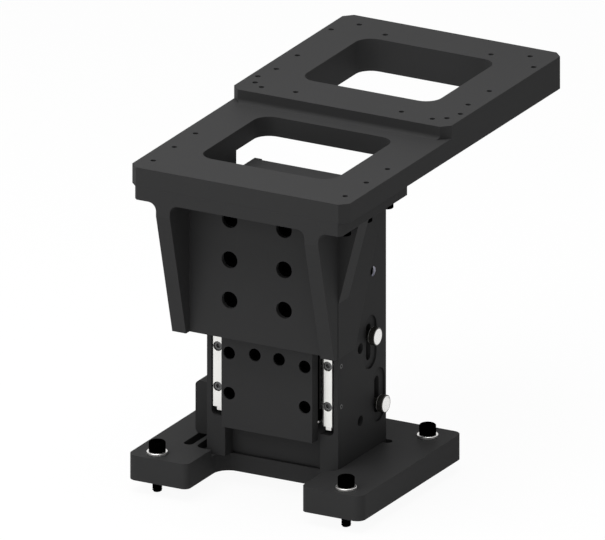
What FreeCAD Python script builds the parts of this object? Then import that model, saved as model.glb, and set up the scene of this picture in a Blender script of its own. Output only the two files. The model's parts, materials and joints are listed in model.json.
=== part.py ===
import FreeCAD, Part
import math
import os
import Sketcher

# Microscope focusing mount. Millimetres, +Z up, the user in front at -Y.
# The origin is the middle of the four base bolts, on the base's underside.

doc = FreeCAD.newDocument("FocusingMount")
sheet = doc.addObject("Spreadsheet::Sheet", "Sizes")

sizes = {
    # base plate
    "bolt_span_x": 125, "bolt_span_y": 100, "bolt_edge_side": 15,
    "bolt_edge_front": 9.5, "bolt_edge_back": 15.5, "base_thick": 15.5,
    "base_corner": 5.5, "notch_width": 75, "notch_depth": 42.2, "notch_corner": 10,
    "foot_corner": 4, "pocket_depth": 4.7, "pocket_front": 5.6, "pocket_left": 5.2,
    "pocket_fit": 0.4, "pocket_corner": 8, "pocket_left_corner": 5, "pocket_relief": 3,
    "relief_shift": 1.9, "relief_depth": 10,
    "cable_slot_width": 6, "cable_slot_length": 48.6, "cable_slot_offset": 11.2,
    "cable_slot_front": 4.2,
    # column
    "column_width": 86.8, "column_reach": 24.4, "column_depth": 58.8,
    "column_height": 164.2, "column_floor": 13.2, "top_wall": 8, "side_wall": 8,
    "front_wall": 8.4, "leg_width": 12, "leg_recess": 9.7, "channel_below": 5.2,
    "channel_corner": 3, "window_width": 32, "window_margin": 2,
    # back cover
    "cover_thick": 3, "cover_sunk": 1.6, "cover_margin": 4.9, "cover_rise": 5.2,
    "cover_gap": 0.1, "cover_screw_x": 30, "cover_screw_inset": 4,
    "column_screw_x": 24, "column_screw_y": 7, "column_screw_span": 26,
    "column_screw_bite": 10,
    # crossed roller rails
    "roller_line": 31.025, "rail_split": 1.45, "outer_rail_width": 7.55,
    "inner_rail_width": 8.4, "rail_depth": 8, "rail_bottom": 40.8, "rail_length": 125,
    "rail_lip": 2.1, "preload_gap": 1.1, "rail_pitch": 25, "rail_first": 12.5,
    "outer_screw_x": 36.3, "inner_screw_x": 25, "roller_diameter": 3,
    "roller_width": 2.8, "roller_play": 0.05, "roller_pitch": 7.5, "cage_thick": 0.7,
    "cage_width": 6.8, "cage_length": 105, "cage_rim": 0.25,
    "stop_tab_width": 3.5, "stop_tab_height": 2, "stop_tab_x": 36, "stop_tab_shift": 1,
    "stop_tab_reach": 5.75, "inner_rail_trim": 2, "inner_bite": 6, "end_screw_x": 27.7,
    "end_screw_head": 3, "end_screw_tall": 1.8,
    # carriage and travel
    "focus_travel": 12.5, "carriage_width": 60, "carriage_thick": 7,
    "carriage_bottom": 31.75, "carriage_top": 170, "carriage_key_gap": 0.1,
    "carriage_back_gap": 0.5,
    # focus bracket
    "bracket_width": 108, "bracket_thick": 12.4, "bracket_bottom": 92.25,
    "bracket_height": 85.75, "flange_width": 137, "flange_front": 68, "flange_back": 13.7,
    "flange_thick": 8, "rib_thick": 9.2, "rib_foot": 4.2, "rib_drop": 8,
    "rib_fillet": 5, "gusset_foot": 8.4, "wing_width": 13.5, "wing_height": 51.7,
    "yoke_half": 44.5, "flange_chamfer": 2, "bracket_screw_x": 18,
    "bracket_screw_first": 116.3, "bracket_sink": 8,
    # stage plate
    "stage_width": 144, "stage_near": 125, "stage_far": 143, "stage_near_thick": 12,
    "stage_far_thick": 20, "stage_chamfer": 5, "step_fillet": 2.5,
    "near_opening_front": 33.3, "near_opening_length": 80,
    "far_opening_front": 33.2, "far_opening_length": 80.1, "opening_width": 89,
    "opening_corner": 10, "side_hole_x": 63.5, "near_hole_front": 15,
    "stage_hole_pitch": 26, "far_hole_front": 15, "stage_screw_bite": 7.8,
    "corner_hole_x": 56.5, "corner_hole_front": 10, "corner_hole_span": 120,
    "side_hole_far_x": 67, "side_hole_front": 25, "side_hole_span": 90,
    "inner_hole_x": 35, "inner_hole_front": 12, "inner_hole_span": 110,
    # screws: root diameter, clearance hole, head and socket
    "small_root": 2.05, "small_hole": 2.9, "small_head": 4.5, "small_tall": 2.5,
    "light_root": 2.5, "light_hole": 3.4, "light_head": 5.5, "light_tall": 3,
    "middle_root": 3.3, "middle_hole": 4.5, "middle_head": 7, "middle_tall": 4,
    "large_root": 5, "large_shank": 6, "large_neck": 5.3, "thread_start": 0.3,
    "large_hole": 6.6, "large_head": 10,
    "large_tall": 6, "sink_play": 0.4, "base_bolt_length": 25, "washer_diameter": 12.4,
    "washer_thick": 1.6, "washer_hole": 6.4, "socket_share": 0.29,
    "socket_depth_share": 0.55, "screw_bite": 5, "hole_spare": 1,
    # side face of the column
    "upper_slot_y": 14.7, "upper_slot_z": 82.1, "lower_slot_y": 24.8,
    "lower_slot_z": 46.4, "slot_travel": 17, "slot_width": 5.6, "slot_recess": 16,
    "slot_recess_depth": 1.2, "upper_knob_rise": 4.2, "lower_knob_drop": 5.1,
    "knob_diameter": 10.8, "knob_thick": 4.1, "knob_gap": 1.2, "knob_stem": 5,
    "knob_chamfer": 0.5, "stem_inset": 1, "stop_block": 8, "stop_wall_gap": 0.3, "pilot_hole": 6.4,
    "pilot_y": 2.9, "pilot_upper_z": 81.75, "pilot_lower_z": 36.9, "pilot_depth": 6,
    "preload_screw": 3, "pin_y": 18.4, "pin_gap": 1.2, "pin_diameter": 5,
    "clip_seat": 7, "clip_seat_depth": 1.5, "clip_rim": 0.4, "clip_play": 0.1,
    # drive
    "drive_y": 8, "screw_diameter": 6, "running_fit": 0.05, "motor_width": 28.2,
    "motor_length": 31, "motor_corner": 2.5, "motor_pattern": 23,
    "motor_top_gap": 1, "motor_boss": 22, "motor_boss_height": 2,
    "motor_shaft_reach": 10, "motor_bite": 4,
    "mount_thick": 6.5, "mount_half": 16, "mount_screw_x": 6, "mount_margin": 1,
    "mount_bite": 7.5, "shaft_clearance": 3, "screw_tip": 0.6,
    "bearing_outer": 13, "bearing_width": 5, "bearing_block_half": 13,
    "bearing_block_bottom": 46, "bearing_block_height": 10, "bearing_block_back": 18,
    "bearing_screw_x": 8, "bearing_bite": 9.9, "bearing_step": 0.4,
    "bearing_clearance": 1, "nut_half": 14, "nut_height": 14, "nut_middle": 80,
    "nut_back": 24, "nut_barrel": 12, "nut_flange": 20, "nut_flange_thick": 3,
    "nut_screw_x": 7.6, "nut_bracket_screw_x": 8, "nut_bite": 9.9,
    "hook_pin_diameter": 4, "hanger_x": 4.6,
    "hook_pin_reach": 24.5, "spring_x": 20.5, "spring_radius": 3, "spring_wire": 1.2, "spring_arm": 1.3,
    "spring_turns": 12, "hook_radius": 3.4, "stop_gap": 0.2,
    "striker_x": 27, "striker_reach": 33, "striker_plate": 5, "striker_front": 11, "striker_back": 28,
    # cable housing on the left
    "housing_reach": 16.4, "housing_front": 8.1, "housing_back": 28,
    "housing_height": 32.5, "housing_wall": 2.5, "housing_edge": 3,
    "housing_screw_inset": 5, "housing_boss_wall": 2, "cable_hole": 10, "board_thick": 1.6, "board_inset": 3,
    "board_half": 9,
}

for row, (name, number) in enumerate(sizes.items(), start=1):
    sheet.set(f"A{row}", name)
    sheet.set(f"B{row}", str(number))
    sheet.setAlias(f"B{row}", name)
doc.recompute()


# a number together with the sheet formula that gives it
class Size:
    def __init__(self, value, formula):
        self.value = value
        self.formula = formula

    def __add__(self, other):
        other = sized(other)
        return Size(self.value + other.value, f"({self.formula} + {other.formula})")

    def __sub__(self, other):
        other = sized(other)
        return Size(self.value - other.value, f"({self.formula} - {other.formula})")

    def __rsub__(self, other):
        return sized(other) - self

    def __mul__(self, other):
        other = sized(other)
        return Size(self.value * other.value, f"({self.formula} * {other.formula})")

    def __truediv__(self, other):
        other = sized(other)
        return Size(self.value / other.value, f"({self.formula} / {other.formula})")

    def __neg__(self):
        return Size(-self.value, f"(0 - {self.formula})")

    __radd__ = __add__
    __rmul__ = __mul__


def sized(number):
    if isinstance(number, Size):
        return number
    return Size(float(number), f"({float(number)})")


class Sizes:
    pass


d = Sizes()
for name, number in sizes.items():
    setattr(d, name, Size(float(number), f"Sizes.{name}"))

subparts = []


def tie(thing, prop, size):
    thing.setExpression(prop, sized(size).formula)


def keep(thing, label):
    thing.Label = label
    subparts.append(thing)
    return thing


def place(thing, x, y, z):
    for letter, size in zip("xyz", (x, y, z)):
        tie(thing, f"Placement.Base.{letter}", size)


TURNS = {
    "+X": FreeCAD.Rotation(FreeCAD.Vector(0, 1, 0), 90),
    "-X": FreeCAD.Rotation(FreeCAD.Vector(0, 1, 0), -90),
    "+Y": FreeCAD.Rotation(FreeCAD.Vector(1, 0, 0), -90),
    "-Y": FreeCAD.Rotation(FreeCAD.Vector(1, 0, 0), 90),
    "+Z": FreeCAD.Rotation(),
    "-Z": FreeCAD.Rotation(FreeCAD.Vector(1, 0, 0), 180),
}


def turn(thing, way, x, y, z):
    thing.Placement = FreeCAD.Placement(FreeCAD.Vector(), TURNS[way])
    place(thing, x, y, z)


def box(x0, x1, y0, y1, z0, z1):
    block = doc.addObject("Part::Box", "Block")
    tie(block, "Length", x1 - x0)
    tie(block, "Width", y1 - y0)
    tie(block, "Height", z1 - z0)
    place(block, x0, y0, z0)
    return block


def rod(way, x, y, z, diameter, length):
    cylinder = doc.addObject("Part::Cylinder", "Rod")
    tie(cylinder, "Radius", sized(diameter) / 2)
    tie(cylinder, "Height", length)
    turn(cylinder, way, x, y, z)
    return cylinder


def fuse(*things):
    joined = doc.addObject("Part::MultiFuse", "Joined")
    joined.Shapes = list(things)
    joined.Refine = True
    return joined


def cut(base, *tools):
    result = doc.addObject("Part::Cut", "Cut")
    result.Base = base
    result.Tool = tools[0] if len(tools) == 1 else fuse(*tools)
    return result


def group(*things):
    together = doc.addObject("Part::Compound", "Group")
    together.Links = list(things)
    return together


def body_of(label):
    return doc.addObject("PartDesign::Body", label.title().replace("_", "") + "Body")


def sketch_on(body, plane, offset):
    sketch = body.newObject("Sketcher::SketchObject", "Outline")
    planes = [item for item in body.Origin.OriginFeatures if item.Role == plane]
    sketch.AttachmentSupport = (planes[0], [""])
    sketch.MapMode = "FlatFace"
    tie(sketch, "AttachmentOffset.Base.z", offset)
    return sketch


def fix_point(sketch, index, end, point):
    for way, axis, size in (("DistanceX", -2, point[0]), ("DistanceY", -1, point[1])):
        size = sized(size)
        if size.formula == "(0.0)":
            sketch.addConstraint(Sketcher.Constraint("PointOnObject", index, end, axis))
        else:
            number = sketch.addConstraint(Sketcher.Constraint(way, index, end, size.value))
            tie(sketch, f"Constraints[{number}]", size)


def draw_outline(sketch, points):
    flat = [FreeCAD.Vector(sized(x).value, sized(y).value, 0) for x, y in points]
    for index, start in enumerate(flat):
        sketch.addGeometry(Part.LineSegment(start, flat[(index + 1) % len(flat)]), False)
    for index, point in enumerate(points):
        after = (index + 1) % len(points)
        sketch.addConstraint(Sketcher.Constraint("Coincident", index, 2, after, 1))
        fix_point(sketch, index, 1, point)


def padded(body, plane, offset, points, length, back=False):
    sketch = sketch_on(body, plane, offset)
    draw_outline(sketch, points)
    pad = body.newObject("PartDesign::Pad", "Pad")
    pad.Profile = sketch
    pad.Reversed = back
    tie(pad, "Length", length)
    return pad


def pocketed(body, plane, offset, points, depth, back=False):
    sketch = sketch_on(body, plane, offset)
    draw_outline(sketch, points)
    pocket = body.newObject("PartDesign::Pocket", "Pocket")
    pocket.Profile = sketch
    pocket.Reversed = back
    tie(pocket, "Length", depth)
    return pocket


def rectangle(x0, x1, y0, y1):
    return [(x0, y0), (x1, y0), (x1, y1), (x0, y1)]


def edges_at(shape, axis, spots):
    # names of the straight edges along an axis that pass through the given spots
    others = [number for number in range(3) if number != axis]
    found = []
    for number, edge in enumerate(shape.Edges, start=1):
        if edge.Curve.TypeId != "Part::GeomLine":
            continue
        run = edge.Vertexes[-1].Point - edge.Vertexes[0].Point
        if abs(run[axis]) < 0.999 * run.Length:
            continue
        middle = edge.CenterOfMass
        for spot in spots:
            gaps = [abs(middle[n] - sized(value).value) for n, value in zip(others, spot)]
            if max(gaps) < 0.01:
                found.append(f"Edge{number}")
    return found


def eased(body, kind, axis, spots, size):
    doc.recompute()
    base = body.Tip
    feature = body.newObject(f"PartDesign::{kind}", kind)
    feature.Base = (base, edges_at(base.Shape, axis, spots))
    tie(feature, "Radius" if kind == "Fillet" else "Size", size)
    return feature


def turned(way, x, y, z, profile):
    # a lathe part: profile points are radius and height along its axis
    body = body_of("turned")
    sketch = sketch_on(body, "XZ_Plane", 0)
    draw_outline(sketch, profile)
    spin = body.newObject("PartDesign::Revolution", "Spin")
    spin.Profile = sketch
    spin.ReferenceAxis = (sketch, ["V_Axis"])
    spin.Angle = 360
    turn(body, way, x, y, z)
    return body


def screw(way, x, y, z, root, length, head, tall):
    # a socket head screw: the point is under the head, the way runs to the tip
    shank = rod(way, x, y, z, root, length)
    signs = {"X": 0, "Y": 1, "Z": 2}
    axis = signs[way[1]]
    side = 1 if way[0] == "+" else -1
    start = [x, y, z]
    start[axis] = start[axis] - side * tall
    cap = rod(way, *start, head, tall)
    socket = doc.addObject("Part::Prism", "Socket")
    socket.Polygon = 6
    tie(socket, "Circumradius", head * d.socket_share)
    tie(socket, "Height", tall * d.socket_depth_share)
    turn(socket, way, *start)
    return cut(fuse(shank, cap), socket)


def base_bolt(x, y):
    # a captive screw: a slim neck inside the base, the thread below it
    neck = washer_top + d.thread_start
    thread = rod("-Z", x, y, -d.thread_start, d.large_shank, d.base_bolt_length - neck)
    return fuse(screw("-Z", x, y, washer_top, d.large_neck, neck, d.large_head, d.large_tall),
                thread)


def both(places):
    return [(side * x, y) for side in (-1, 1) for x, y in places]


def hole_pair(x, front, span):
    return [(x, stage_step + front), (x, stage_step + front + span)]


# shared places
bolt_x = d.bolt_span_x / 2
bolt_y = d.bolt_span_y / 2
base_half = bolt_x + d.bolt_edge_side
base_front = -(bolt_y + d.bolt_edge_front)
base_back = bolt_y + d.bolt_edge_back
notch_half = d.notch_width / 2
notch_wall = base_front + d.notch_depth
column_half = d.column_width / 2
column_front = -d.column_reach
column_back = column_front + d.column_depth
column_foot = d.base_thick - d.pocket_depth
column_top = column_foot + d.column_height
channel_floor = column_front + d.rail_depth
inner_front = channel_floor + d.front_wall
inner_half = column_half - d.side_wall
cover_back = column_back - d.cover_sunk
inner_back = cover_back - d.cover_thick
inner_floor = column_foot + d.column_floor
inner_top = column_top - d.top_wall
motor_base = inner_top - d.motor_top_gap - d.motor_length
mount_bottom = motor_base - d.mount_thick
pin_z = mount_bottom - d.pin_gap - d.pin_diameter / 2
rail_top = d.rail_bottom + d.rail_length
outer_rail_in = d.roller_line + d.rail_split / 2
outer_rail_out = outer_rail_in + d.outer_rail_width
inner_rail_out = d.roller_line - d.rail_split / 2
inner_rail_in = inner_rail_out - d.inner_rail_width
channel_half = outer_rail_out + d.preload_gap
rail_middle = column_front + d.rail_depth / 2
carriage_front = column_front - d.carriage_thick
carriage_back = channel_floor - d.carriage_back_gap
bracket_front = carriage_front - d.bracket_thick
flange_bottom = d.bracket_bottom + d.bracket_height
stage_bottom = flange_bottom + d.flange_thick
stage_front = -d.flange_front
stage_step = stage_front + d.stage_near
stage_back = stage_step + d.stage_far
stage_near_top = stage_bottom + d.stage_near_thick
stage_far_top = stage_bottom + d.stage_far_thick
nut_bottom = d.nut_middle - d.nut_height / 2
nut_top = d.nut_middle + d.nut_height / 2
rail_screw_heights = [d.rail_bottom + d.rail_first + d.rail_pitch * step for step in range(5)]
bracket_screw_heights = [d.bracket_screw_first + d.rail_pitch * step for step in range(3)]


# Fixed parts

def make_base_plate():
    body = body_of("base_plate")
    padded(body, "XY_Plane", 0,
           rectangle(-base_half, base_half, base_front, base_back), d.base_thick)
    eased(body, "Fillet", 2, [(-base_half, base_front), (base_half, base_front),
          (base_half, base_back), (-base_half, base_back)], d.base_corner)
    left = -column_half - d.pocket_left
    right = column_half + d.pocket_fit
    back = column_back + d.pocket_fit
    front = column_front - d.pocket_front
    pocketed(body, "XY_Plane", d.base_thick, rectangle(left, right, front, back),
             d.pocket_depth)
    eased(body, "Fillet", 2, [(right, front)], d.pocket_corner)
    eased(body, "Fillet", 2, [(left, front), (left, back)], d.pocket_left_corner)
    pocketed(body, "XY_Plane", d.base_thick,
             rectangle(-notch_half, notch_half, base_front, notch_wall), d.base_thick)
    eased(body, "Fillet", 2, [(-notch_half, notch_wall), (notch_half, notch_wall)],
          d.notch_corner)
    eased(body, "Fillet", 2, [(-notch_half, base_front), (notch_half, base_front)],
          d.foot_corner)
    relief = rod("-Z", right + d.relief_shift, back - d.pocket_relief, d.base_thick,
                 d.pocket_relief * 2, d.relief_depth)
    slot_x = -column_half - d.cable_slot_offset
    slot_half = d.cable_slot_width / 2
    slot_front = column_front - d.cable_slot_front
    slot_end = slot_front + d.cable_slot_length
    slot = fuse(box(slot_x - slot_half, slot_x + slot_half, slot_front + slot_half,
                    slot_end - slot_half, sized(0), d.base_thick),
                rod("+Z", slot_x, slot_front + slot_half, 0, d.cable_slot_width, d.base_thick),
                rod("+Z", slot_x, slot_end - slot_half, 0, d.cable_slot_width, d.base_thick))
    holes = [rod("+Z", side * bolt_x, end * bolt_y, 0, d.large_hole, d.base_thick)
             for side in (-1, 1) for end in (-1, 1)]
    sinks = []
    for x, y in column_screw_places:
        sinks.append(rod("+Z", x, y, 0, d.large_hole, column_foot))
        sinks.append(rod("+Z", x, y, 0, d.large_head + d.sink_play * 2, d.large_tall + d.sink_play))
    return cut(body, relief, slot, *holes, *sinks)


def make_column():
    body = body_of("column_housing")
    padded(body, "XY_Plane", column_foot,
           rectangle(-column_half, column_half, column_front, column_back), d.column_height)
    channel_bottom = d.rail_bottom - d.channel_below
    pocketed(body, "XZ_Plane", -column_front,
             rectangle(-channel_half, channel_half, channel_bottom, column_top), d.rail_depth)
    leg_in = column_half - d.leg_width
    pocketed(body, "XZ_Plane", -column_front,
             rectangle(-leg_in, leg_in, column_foot, channel_bottom), d.leg_recess)
    window_rise = d.nut_height / 2 + d.focus_travel + d.window_margin
    pocketed(body, "XZ_Plane", -channel_floor,
             rectangle(-d.window_width / 2, d.window_width / 2,
                       d.nut_middle - window_rise, d.nut_middle + window_rise), d.front_wall)
    cover_half = column_half - d.cover_margin + d.cover_gap
    pocketed(body, "XZ_Plane", -column_back,
             rectangle(-cover_half, cover_half, column_foot + d.cover_rise, column_top),
             d.cover_sunk + d.cover_thick, back=True)
    pocketed(body, "XZ_Plane", -inner_back,
             rectangle(-inner_half, inner_half, inner_floor, inner_top),
             inner_back - inner_front, back=True)
    eased(body, "Fillet", 1, [(-channel_half, channel_bottom), (channel_half, channel_bottom)],
          d.channel_corner)
    tools = []
    for y, z in ((d.upper_slot_y, d.upper_slot_z), (d.lower_slot_y, d.lower_slot_z)):
        tools.append(side_slot(y, z, d.slot_recess, d.slot_recess_depth))
        tools.append(side_slot(y, z, d.slot_width, d.side_wall))
    for z in (d.pilot_upper_z, d.pilot_lower_z):
        tools.append(rod("-X", column_half, d.pilot_y, z, d.pilot_hole, d.pilot_depth))
    for z in rail_screw_heights:
        tools.append(rod("-X", column_half, rail_middle, z, d.preload_screw,
                         column_half - channel_half))
        for side in (-1, 1):
            tools.append(rod("+Y", side * d.outer_screw_x, channel_floor, z, d.light_root,
                             screw_hole))
    tools.append(rod("+X", -column_half, d.pin_y, pin_z, d.pin_diameter, d.column_width))
    tools.append(rod("+X", -column_half, d.pin_y, pin_z, d.clip_seat, d.clip_seat_depth))
    tools.append(rod("-X", column_half, d.pin_y, pin_z, d.clip_seat, d.clip_seat_depth))
    for x, z in bearing_screw_places:
        tools.append(rod("+Y", x, channel_floor, z, d.middle_hole, d.front_wall))
        tools.append(rod("+Y", x, channel_floor, z, d.middle_head + d.sink_play * 2,
                         d.middle_tall + d.sink_play))
    for x, z in mount_screw_places:
        tools.append(rod("+Y", x, channel_floor, z, d.light_hole, d.front_wall))
        tools.append(rod("+Y", x, channel_floor, z, d.light_head + d.sink_play * 2,
                         d.light_tall + d.sink_play))
    for x, z in cover_screw_places:
        tools.append(rod("-Y", x, inner_back, z, d.light_root, screw_hole))
    for x, y in column_screw_places:
        tools.append(rod("+Z", x, y, column_foot, d.large_root,
                         d.column_screw_bite + d.hole_spare))
    tools.append(rod("+X", -column_half, cable_y, cable_z, d.cable_hole, d.side_wall))
    for y, z in housing_screw_places:
        tools.append(rod("+X", -column_half, y, z, d.light_root, screw_hole))
    return cut(body, *tools)


def side_slot(y, z, width, depth):
    half = width / 2
    low = z - d.slot_travel / 2
    high = z + d.slot_travel / 2
    return fuse(box(column_half - depth, column_half, y - half, y + half, low, high),
                rod("-X", column_half, y, low, width, depth),
                rod("-X", column_half, y, high, width, depth))


def make_cover():
    half = column_half - d.cover_margin
    plate = box(-half, half, inner_back, cover_back,
                column_foot + d.cover_rise + d.cover_gap, column_top)
    tools = []
    for x, z in cover_screw_places:
        tools.append(rod("+Y", x, inner_back, z, d.light_hole, d.cover_thick))
    return cut(plate, *tools)


def make_outer_rail(side):
    groove = groove_depth
    points = [
        (outer_rail_out, column_front), (outer_rail_in + d.rail_lip, column_front),
        (outer_rail_in, column_front + d.rail_lip), (outer_rail_in, rail_middle - groove),
        (outer_rail_in + groove, rail_middle), (outer_rail_in, rail_middle + groove),
        (outer_rail_in, channel_floor - d.rail_lip),
        (outer_rail_in + d.rail_lip, channel_floor), (outer_rail_out, channel_floor)]
    body = body_of("outer_rail")
    padded(body, "XY_Plane", d.rail_bottom, [(side * x, y) for x, y in points], d.rail_length)
    tools = []
    for z in rail_screw_heights:
        tools.append(rod("+Y", side * d.outer_screw_x, column_front, z,
                         d.light_hole, d.rail_depth))
        tools.append(rod("+Y", side * d.outer_screw_x, column_front, z,
                         d.light_head + d.sink_play, d.light_tall + d.sink_play * 2))
    return cut(body, *tools)


def make_inner_rail(side):
    groove = groove_depth
    points = [
        (inner_rail_in, column_front), (inner_rail_out - d.rail_lip, column_front),
        (inner_rail_out, column_front + d.rail_lip), (inner_rail_out, rail_middle - groove),
        (inner_rail_out - groove, rail_middle), (inner_rail_out, rail_middle + groove),
        (inner_rail_out, channel_floor - d.rail_lip),
        (inner_rail_out - d.rail_lip, channel_floor), (inner_rail_in, channel_floor)]
    body = body_of("inner_rail")
    padded(body, "XY_Plane", d.rail_bottom + d.inner_rail_trim,
           [(side * x, y) for x, y in points], d.rail_length - d.inner_rail_trim * 2)
    tools = [rod("+Y", side * d.inner_screw_x, column_front, z, d.middle_root, d.inner_bite)
             for z in rail_screw_heights]
    for way, z in inner_rail_ends:
        tools.append(rod(way, side * d.end_screw_x, rail_middle, z, d.small_root,
                         screw_hole))
    return cut(body, *tools)


def make_cage(side):
    middle = side * d.roller_line
    half = d.cage_thick / 2
    strip = box(middle - half, middle + half, rail_middle - d.cage_width / 2,
                rail_middle + d.cage_width / 2, cage_bottom, cage_bottom + d.cage_length)
    reach = d.roller_diameter * math.sqrt(0.5) + half + d.cage_rim
    rise = d.roller_diameter / 2 + d.cage_rim / 2
    windows = [box(middle - half, middle + half, rail_middle - reach, rail_middle + reach,
                   z - rise, z + rise) for z in roller_heights]
    return cut(strip, *windows)


def make_rollers(side):
    # crossed rollers: each axis is turned a quarter from the one before it
    rollers = []
    offset = d.roller_width / 2 * math.sqrt(0.5)
    for number, z in enumerate(roller_heights):
        lean = 1 if number % 2 else -1
        roller = doc.addObject("Part::Cylinder", "Roller")
        tie(roller, "Radius", d.roller_diameter / 2)
        tie(roller, "Height", d.roller_width)
        direction = FreeCAD.Vector(1, lean, 0)
        roller.Placement = FreeCAD.Placement(
            FreeCAD.Vector(), FreeCAD.Rotation(FreeCAD.Vector(0, 0, 1), direction))
        place(roller, side * d.roller_line - offset, rail_middle - lean * offset, z)
        rollers.append(roller)
    return group(*rollers)


def make_housing():
    left = -column_half - d.housing_reach
    bottom = d.base_thick
    top = bottom + d.housing_height
    body = body_of("cable_housing")
    padded(body, "YZ_Plane", left,
           rectangle(-d.housing_front, d.housing_back, bottom, top), d.housing_reach)
    eased(body, "Fillet", 1, [(left, bottom), (left, top)], d.housing_edge)
    wall = d.housing_wall
    hollow = box(left + wall, -column_half, -d.housing_front + wall, d.housing_back - wall,
                 bottom + wall, top - wall)
    blocks = []
    screw_holes = []
    for y, z in housing_screw_places:
        blocks.append(rod("+X", left + wall, y, z, d.light_hole + d.housing_boss_wall * 2,
                          d.housing_reach - wall))
        screw_holes.append(rod("+X", left, y, z, d.light_hole, d.housing_reach))
        screw_holes.append(rod("+X", left, y, z, d.light_head + d.sink_play * 2,
                               d.light_tall + d.sink_play))
    slot_x = -column_half - d.cable_slot_offset
    outlet = box(slot_x - d.cable_slot_width / 2, slot_x + d.cable_slot_width / 2,
                 cable_y - d.cable_hole / 2, cable_y + d.cable_hole / 2, bottom, bottom + wall)
    return cut(fuse(cut(body, hollow), *blocks), *screw_holes, outlet)


def make_board():
    back = -column_half - d.board_inset
    wall = d.housing_wall
    top = d.base_thick + d.housing_height - wall
    board = box(back - d.board_thick, back, cable_y - d.board_half, cable_y + d.board_half,
                d.base_thick + wall, top)
    hole = rod("-X", back, cable_y, cable_z, d.cable_hole, d.board_thick)
    return cut(board, hole)


def make_clip(side):
    # a thin steel ring that lines the mouth of the spring pin's hole
    way = "-X" if side > 0 else "+X"
    outer = d.clip_seat - d.clip_play * 2
    depth = d.clip_seat_depth - d.clip_play
    return cut(rod(way, side * column_half, d.pin_y, pin_z, outer, depth),
               rod(way, side * column_half, d.pin_y, pin_z, outer - d.clip_rim * 2, depth))


def make_spring(side):
    low = d.nut_middle + d.hook_radius
    high = pin_z - d.hook_radius
    helix = doc.addObject("Part::Helix", "Coil")
    tie(helix, "Height", high - low)
    tie(helix, "Pitch", (high - low) / d.spring_turns)
    tie(helix, "Radius", d.spring_radius)
    wire = doc.addObject("Part::Circle", "Wire")
    tie(wire, "Radius", d.spring_wire / 2)
    wire.Placement = FreeCAD.Placement(FreeCAD.Vector(),
                                       FreeCAD.Rotation(FreeCAD.Vector(1, 0, 0), 90))
    place(helix, side * d.spring_x, d.pin_y, low)
    place(wire, side * d.spring_x + d.spring_radius, d.pin_y, low)
    sweep = doc.addObject("Part::Sweep", "CoilBody")
    sweep.Sections = [wire]
    sweep.Spine = (helix, ["Edge1"])
    sweep.Solid = True
    sweep.Frenet = True
    pieces = [sweep]
    for z, pin_height in ((low, d.nut_middle), (high, pin_z)):
        pieces.append(rod("+X", side * d.spring_x, d.pin_y, z, d.spring_arm,
                          d.spring_radius))
        hook = doc.addObject("Part::Torus", "Hook")
        tie(hook, "Radius1", d.hook_radius)
        tie(hook, "Radius2", d.spring_wire / 2)
        turn(hook, "+X", side * d.spring_x, d.pin_y, pin_height)
        pieces.append(hook)
    return fuse(*pieces)


# Drive

def make_motor():
    half = d.motor_width / 2
    case = body_of("drive_motor")
    padded(case, "XY_Plane", motor_base,
           rectangle(-half, half, d.drive_y - half, d.drive_y + half), d.motor_length)
    eased(case, "Chamfer", 2, [(side * half, d.drive_y + end * half)
          for side in (-1, 1) for end in (-1, 1)], d.motor_corner)
    boss = rod("-Z", 0, d.drive_y, motor_base, d.motor_boss, d.motor_boss_height)
    holes = [rod("+Z", x, y, motor_base, d.small_root,
                 d.motor_bite + d.hole_spare) for x, y in motor_screw_places]
    bore = rod("+Z", 0, d.drive_y, motor_base - d.motor_boss_height,
               d.screw_diameter + d.running_fit * 2, d.motor_length / 2)
    return cut(fuse(case, boss), bore, *holes)


def make_motor_mount():
    bottom = mount_bottom
    back = d.drive_y + d.motor_width / 2 + d.mount_margin
    plate = box(-d.mount_half, d.mount_half, inner_front, back, bottom, motor_base)
    tools = [rod("+Z", 0, d.drive_y, bottom, d.screw_diameter + d.shaft_clearance * 2,
                 d.mount_thick),
             rod("-Z", 0, d.drive_y, motor_base, d.motor_boss + d.sink_play,
                 d.motor_boss_height + d.cover_gap)]
    for x, y in motor_screw_places:
        tools.append(rod("+Z", x, y, bottom, d.small_hole, d.mount_thick))
        tools.append(rod("+Z", x, y, bottom, d.small_head + d.sink_play,
                         d.small_tall + d.cover_gap))
    for x, z in mount_screw_places:
        tools.append(rod("+Y", x, inner_front, z, d.light_root,
                         d.mount_bite + d.hole_spare))
    return cut(plate, *tools)


def make_bearing_block():
    bottom = d.bearing_block_bottom
    top = bottom + d.bearing_block_height
    block = box(-d.bearing_block_half, d.bearing_block_half, inner_front,
                d.bearing_block_back, bottom, top)
    tools = [rod("-Z", 0, d.drive_y, top, d.bearing_outer, d.bearing_width),
             rod("+Z", 0, d.drive_y, bottom, d.screw_diameter + d.bearing_clearance * 2,
                 d.bearing_block_height)]
    for x, z in bearing_screw_places:
        tools.append(rod("+Y", x, inner_front, z, d.middle_root,
                         d.bearing_bite + d.hole_spare))
    return cut(block, *tools)


def make_bearing():
    bore = d.screw_diameter / 2 + d.running_fit
    outer = d.bearing_outer / 2
    land = (outer - bore) / 4
    face = d.bearing_width - d.bearing_step
    return turned("+Z", 0, d.drive_y, bearing_bottom, [
        (bore, 0), (outer, 0), (outer, d.bearing_width), (outer - land, d.bearing_width),
        (outer - land, face), (bore + land, face),
        (bore + land, d.bearing_width), (bore, d.bearing_width)])


def make_lead_screw():
    radius = d.screw_diameter / 2
    length = motor_base + d.motor_shaft_reach - lead_screw_bottom
    return turned("+Z", 0, d.drive_y, lead_screw_bottom, [
        (0, 0), (radius - d.screw_tip, 0), (radius, d.screw_tip), (radius, length), (0, length)])


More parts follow.
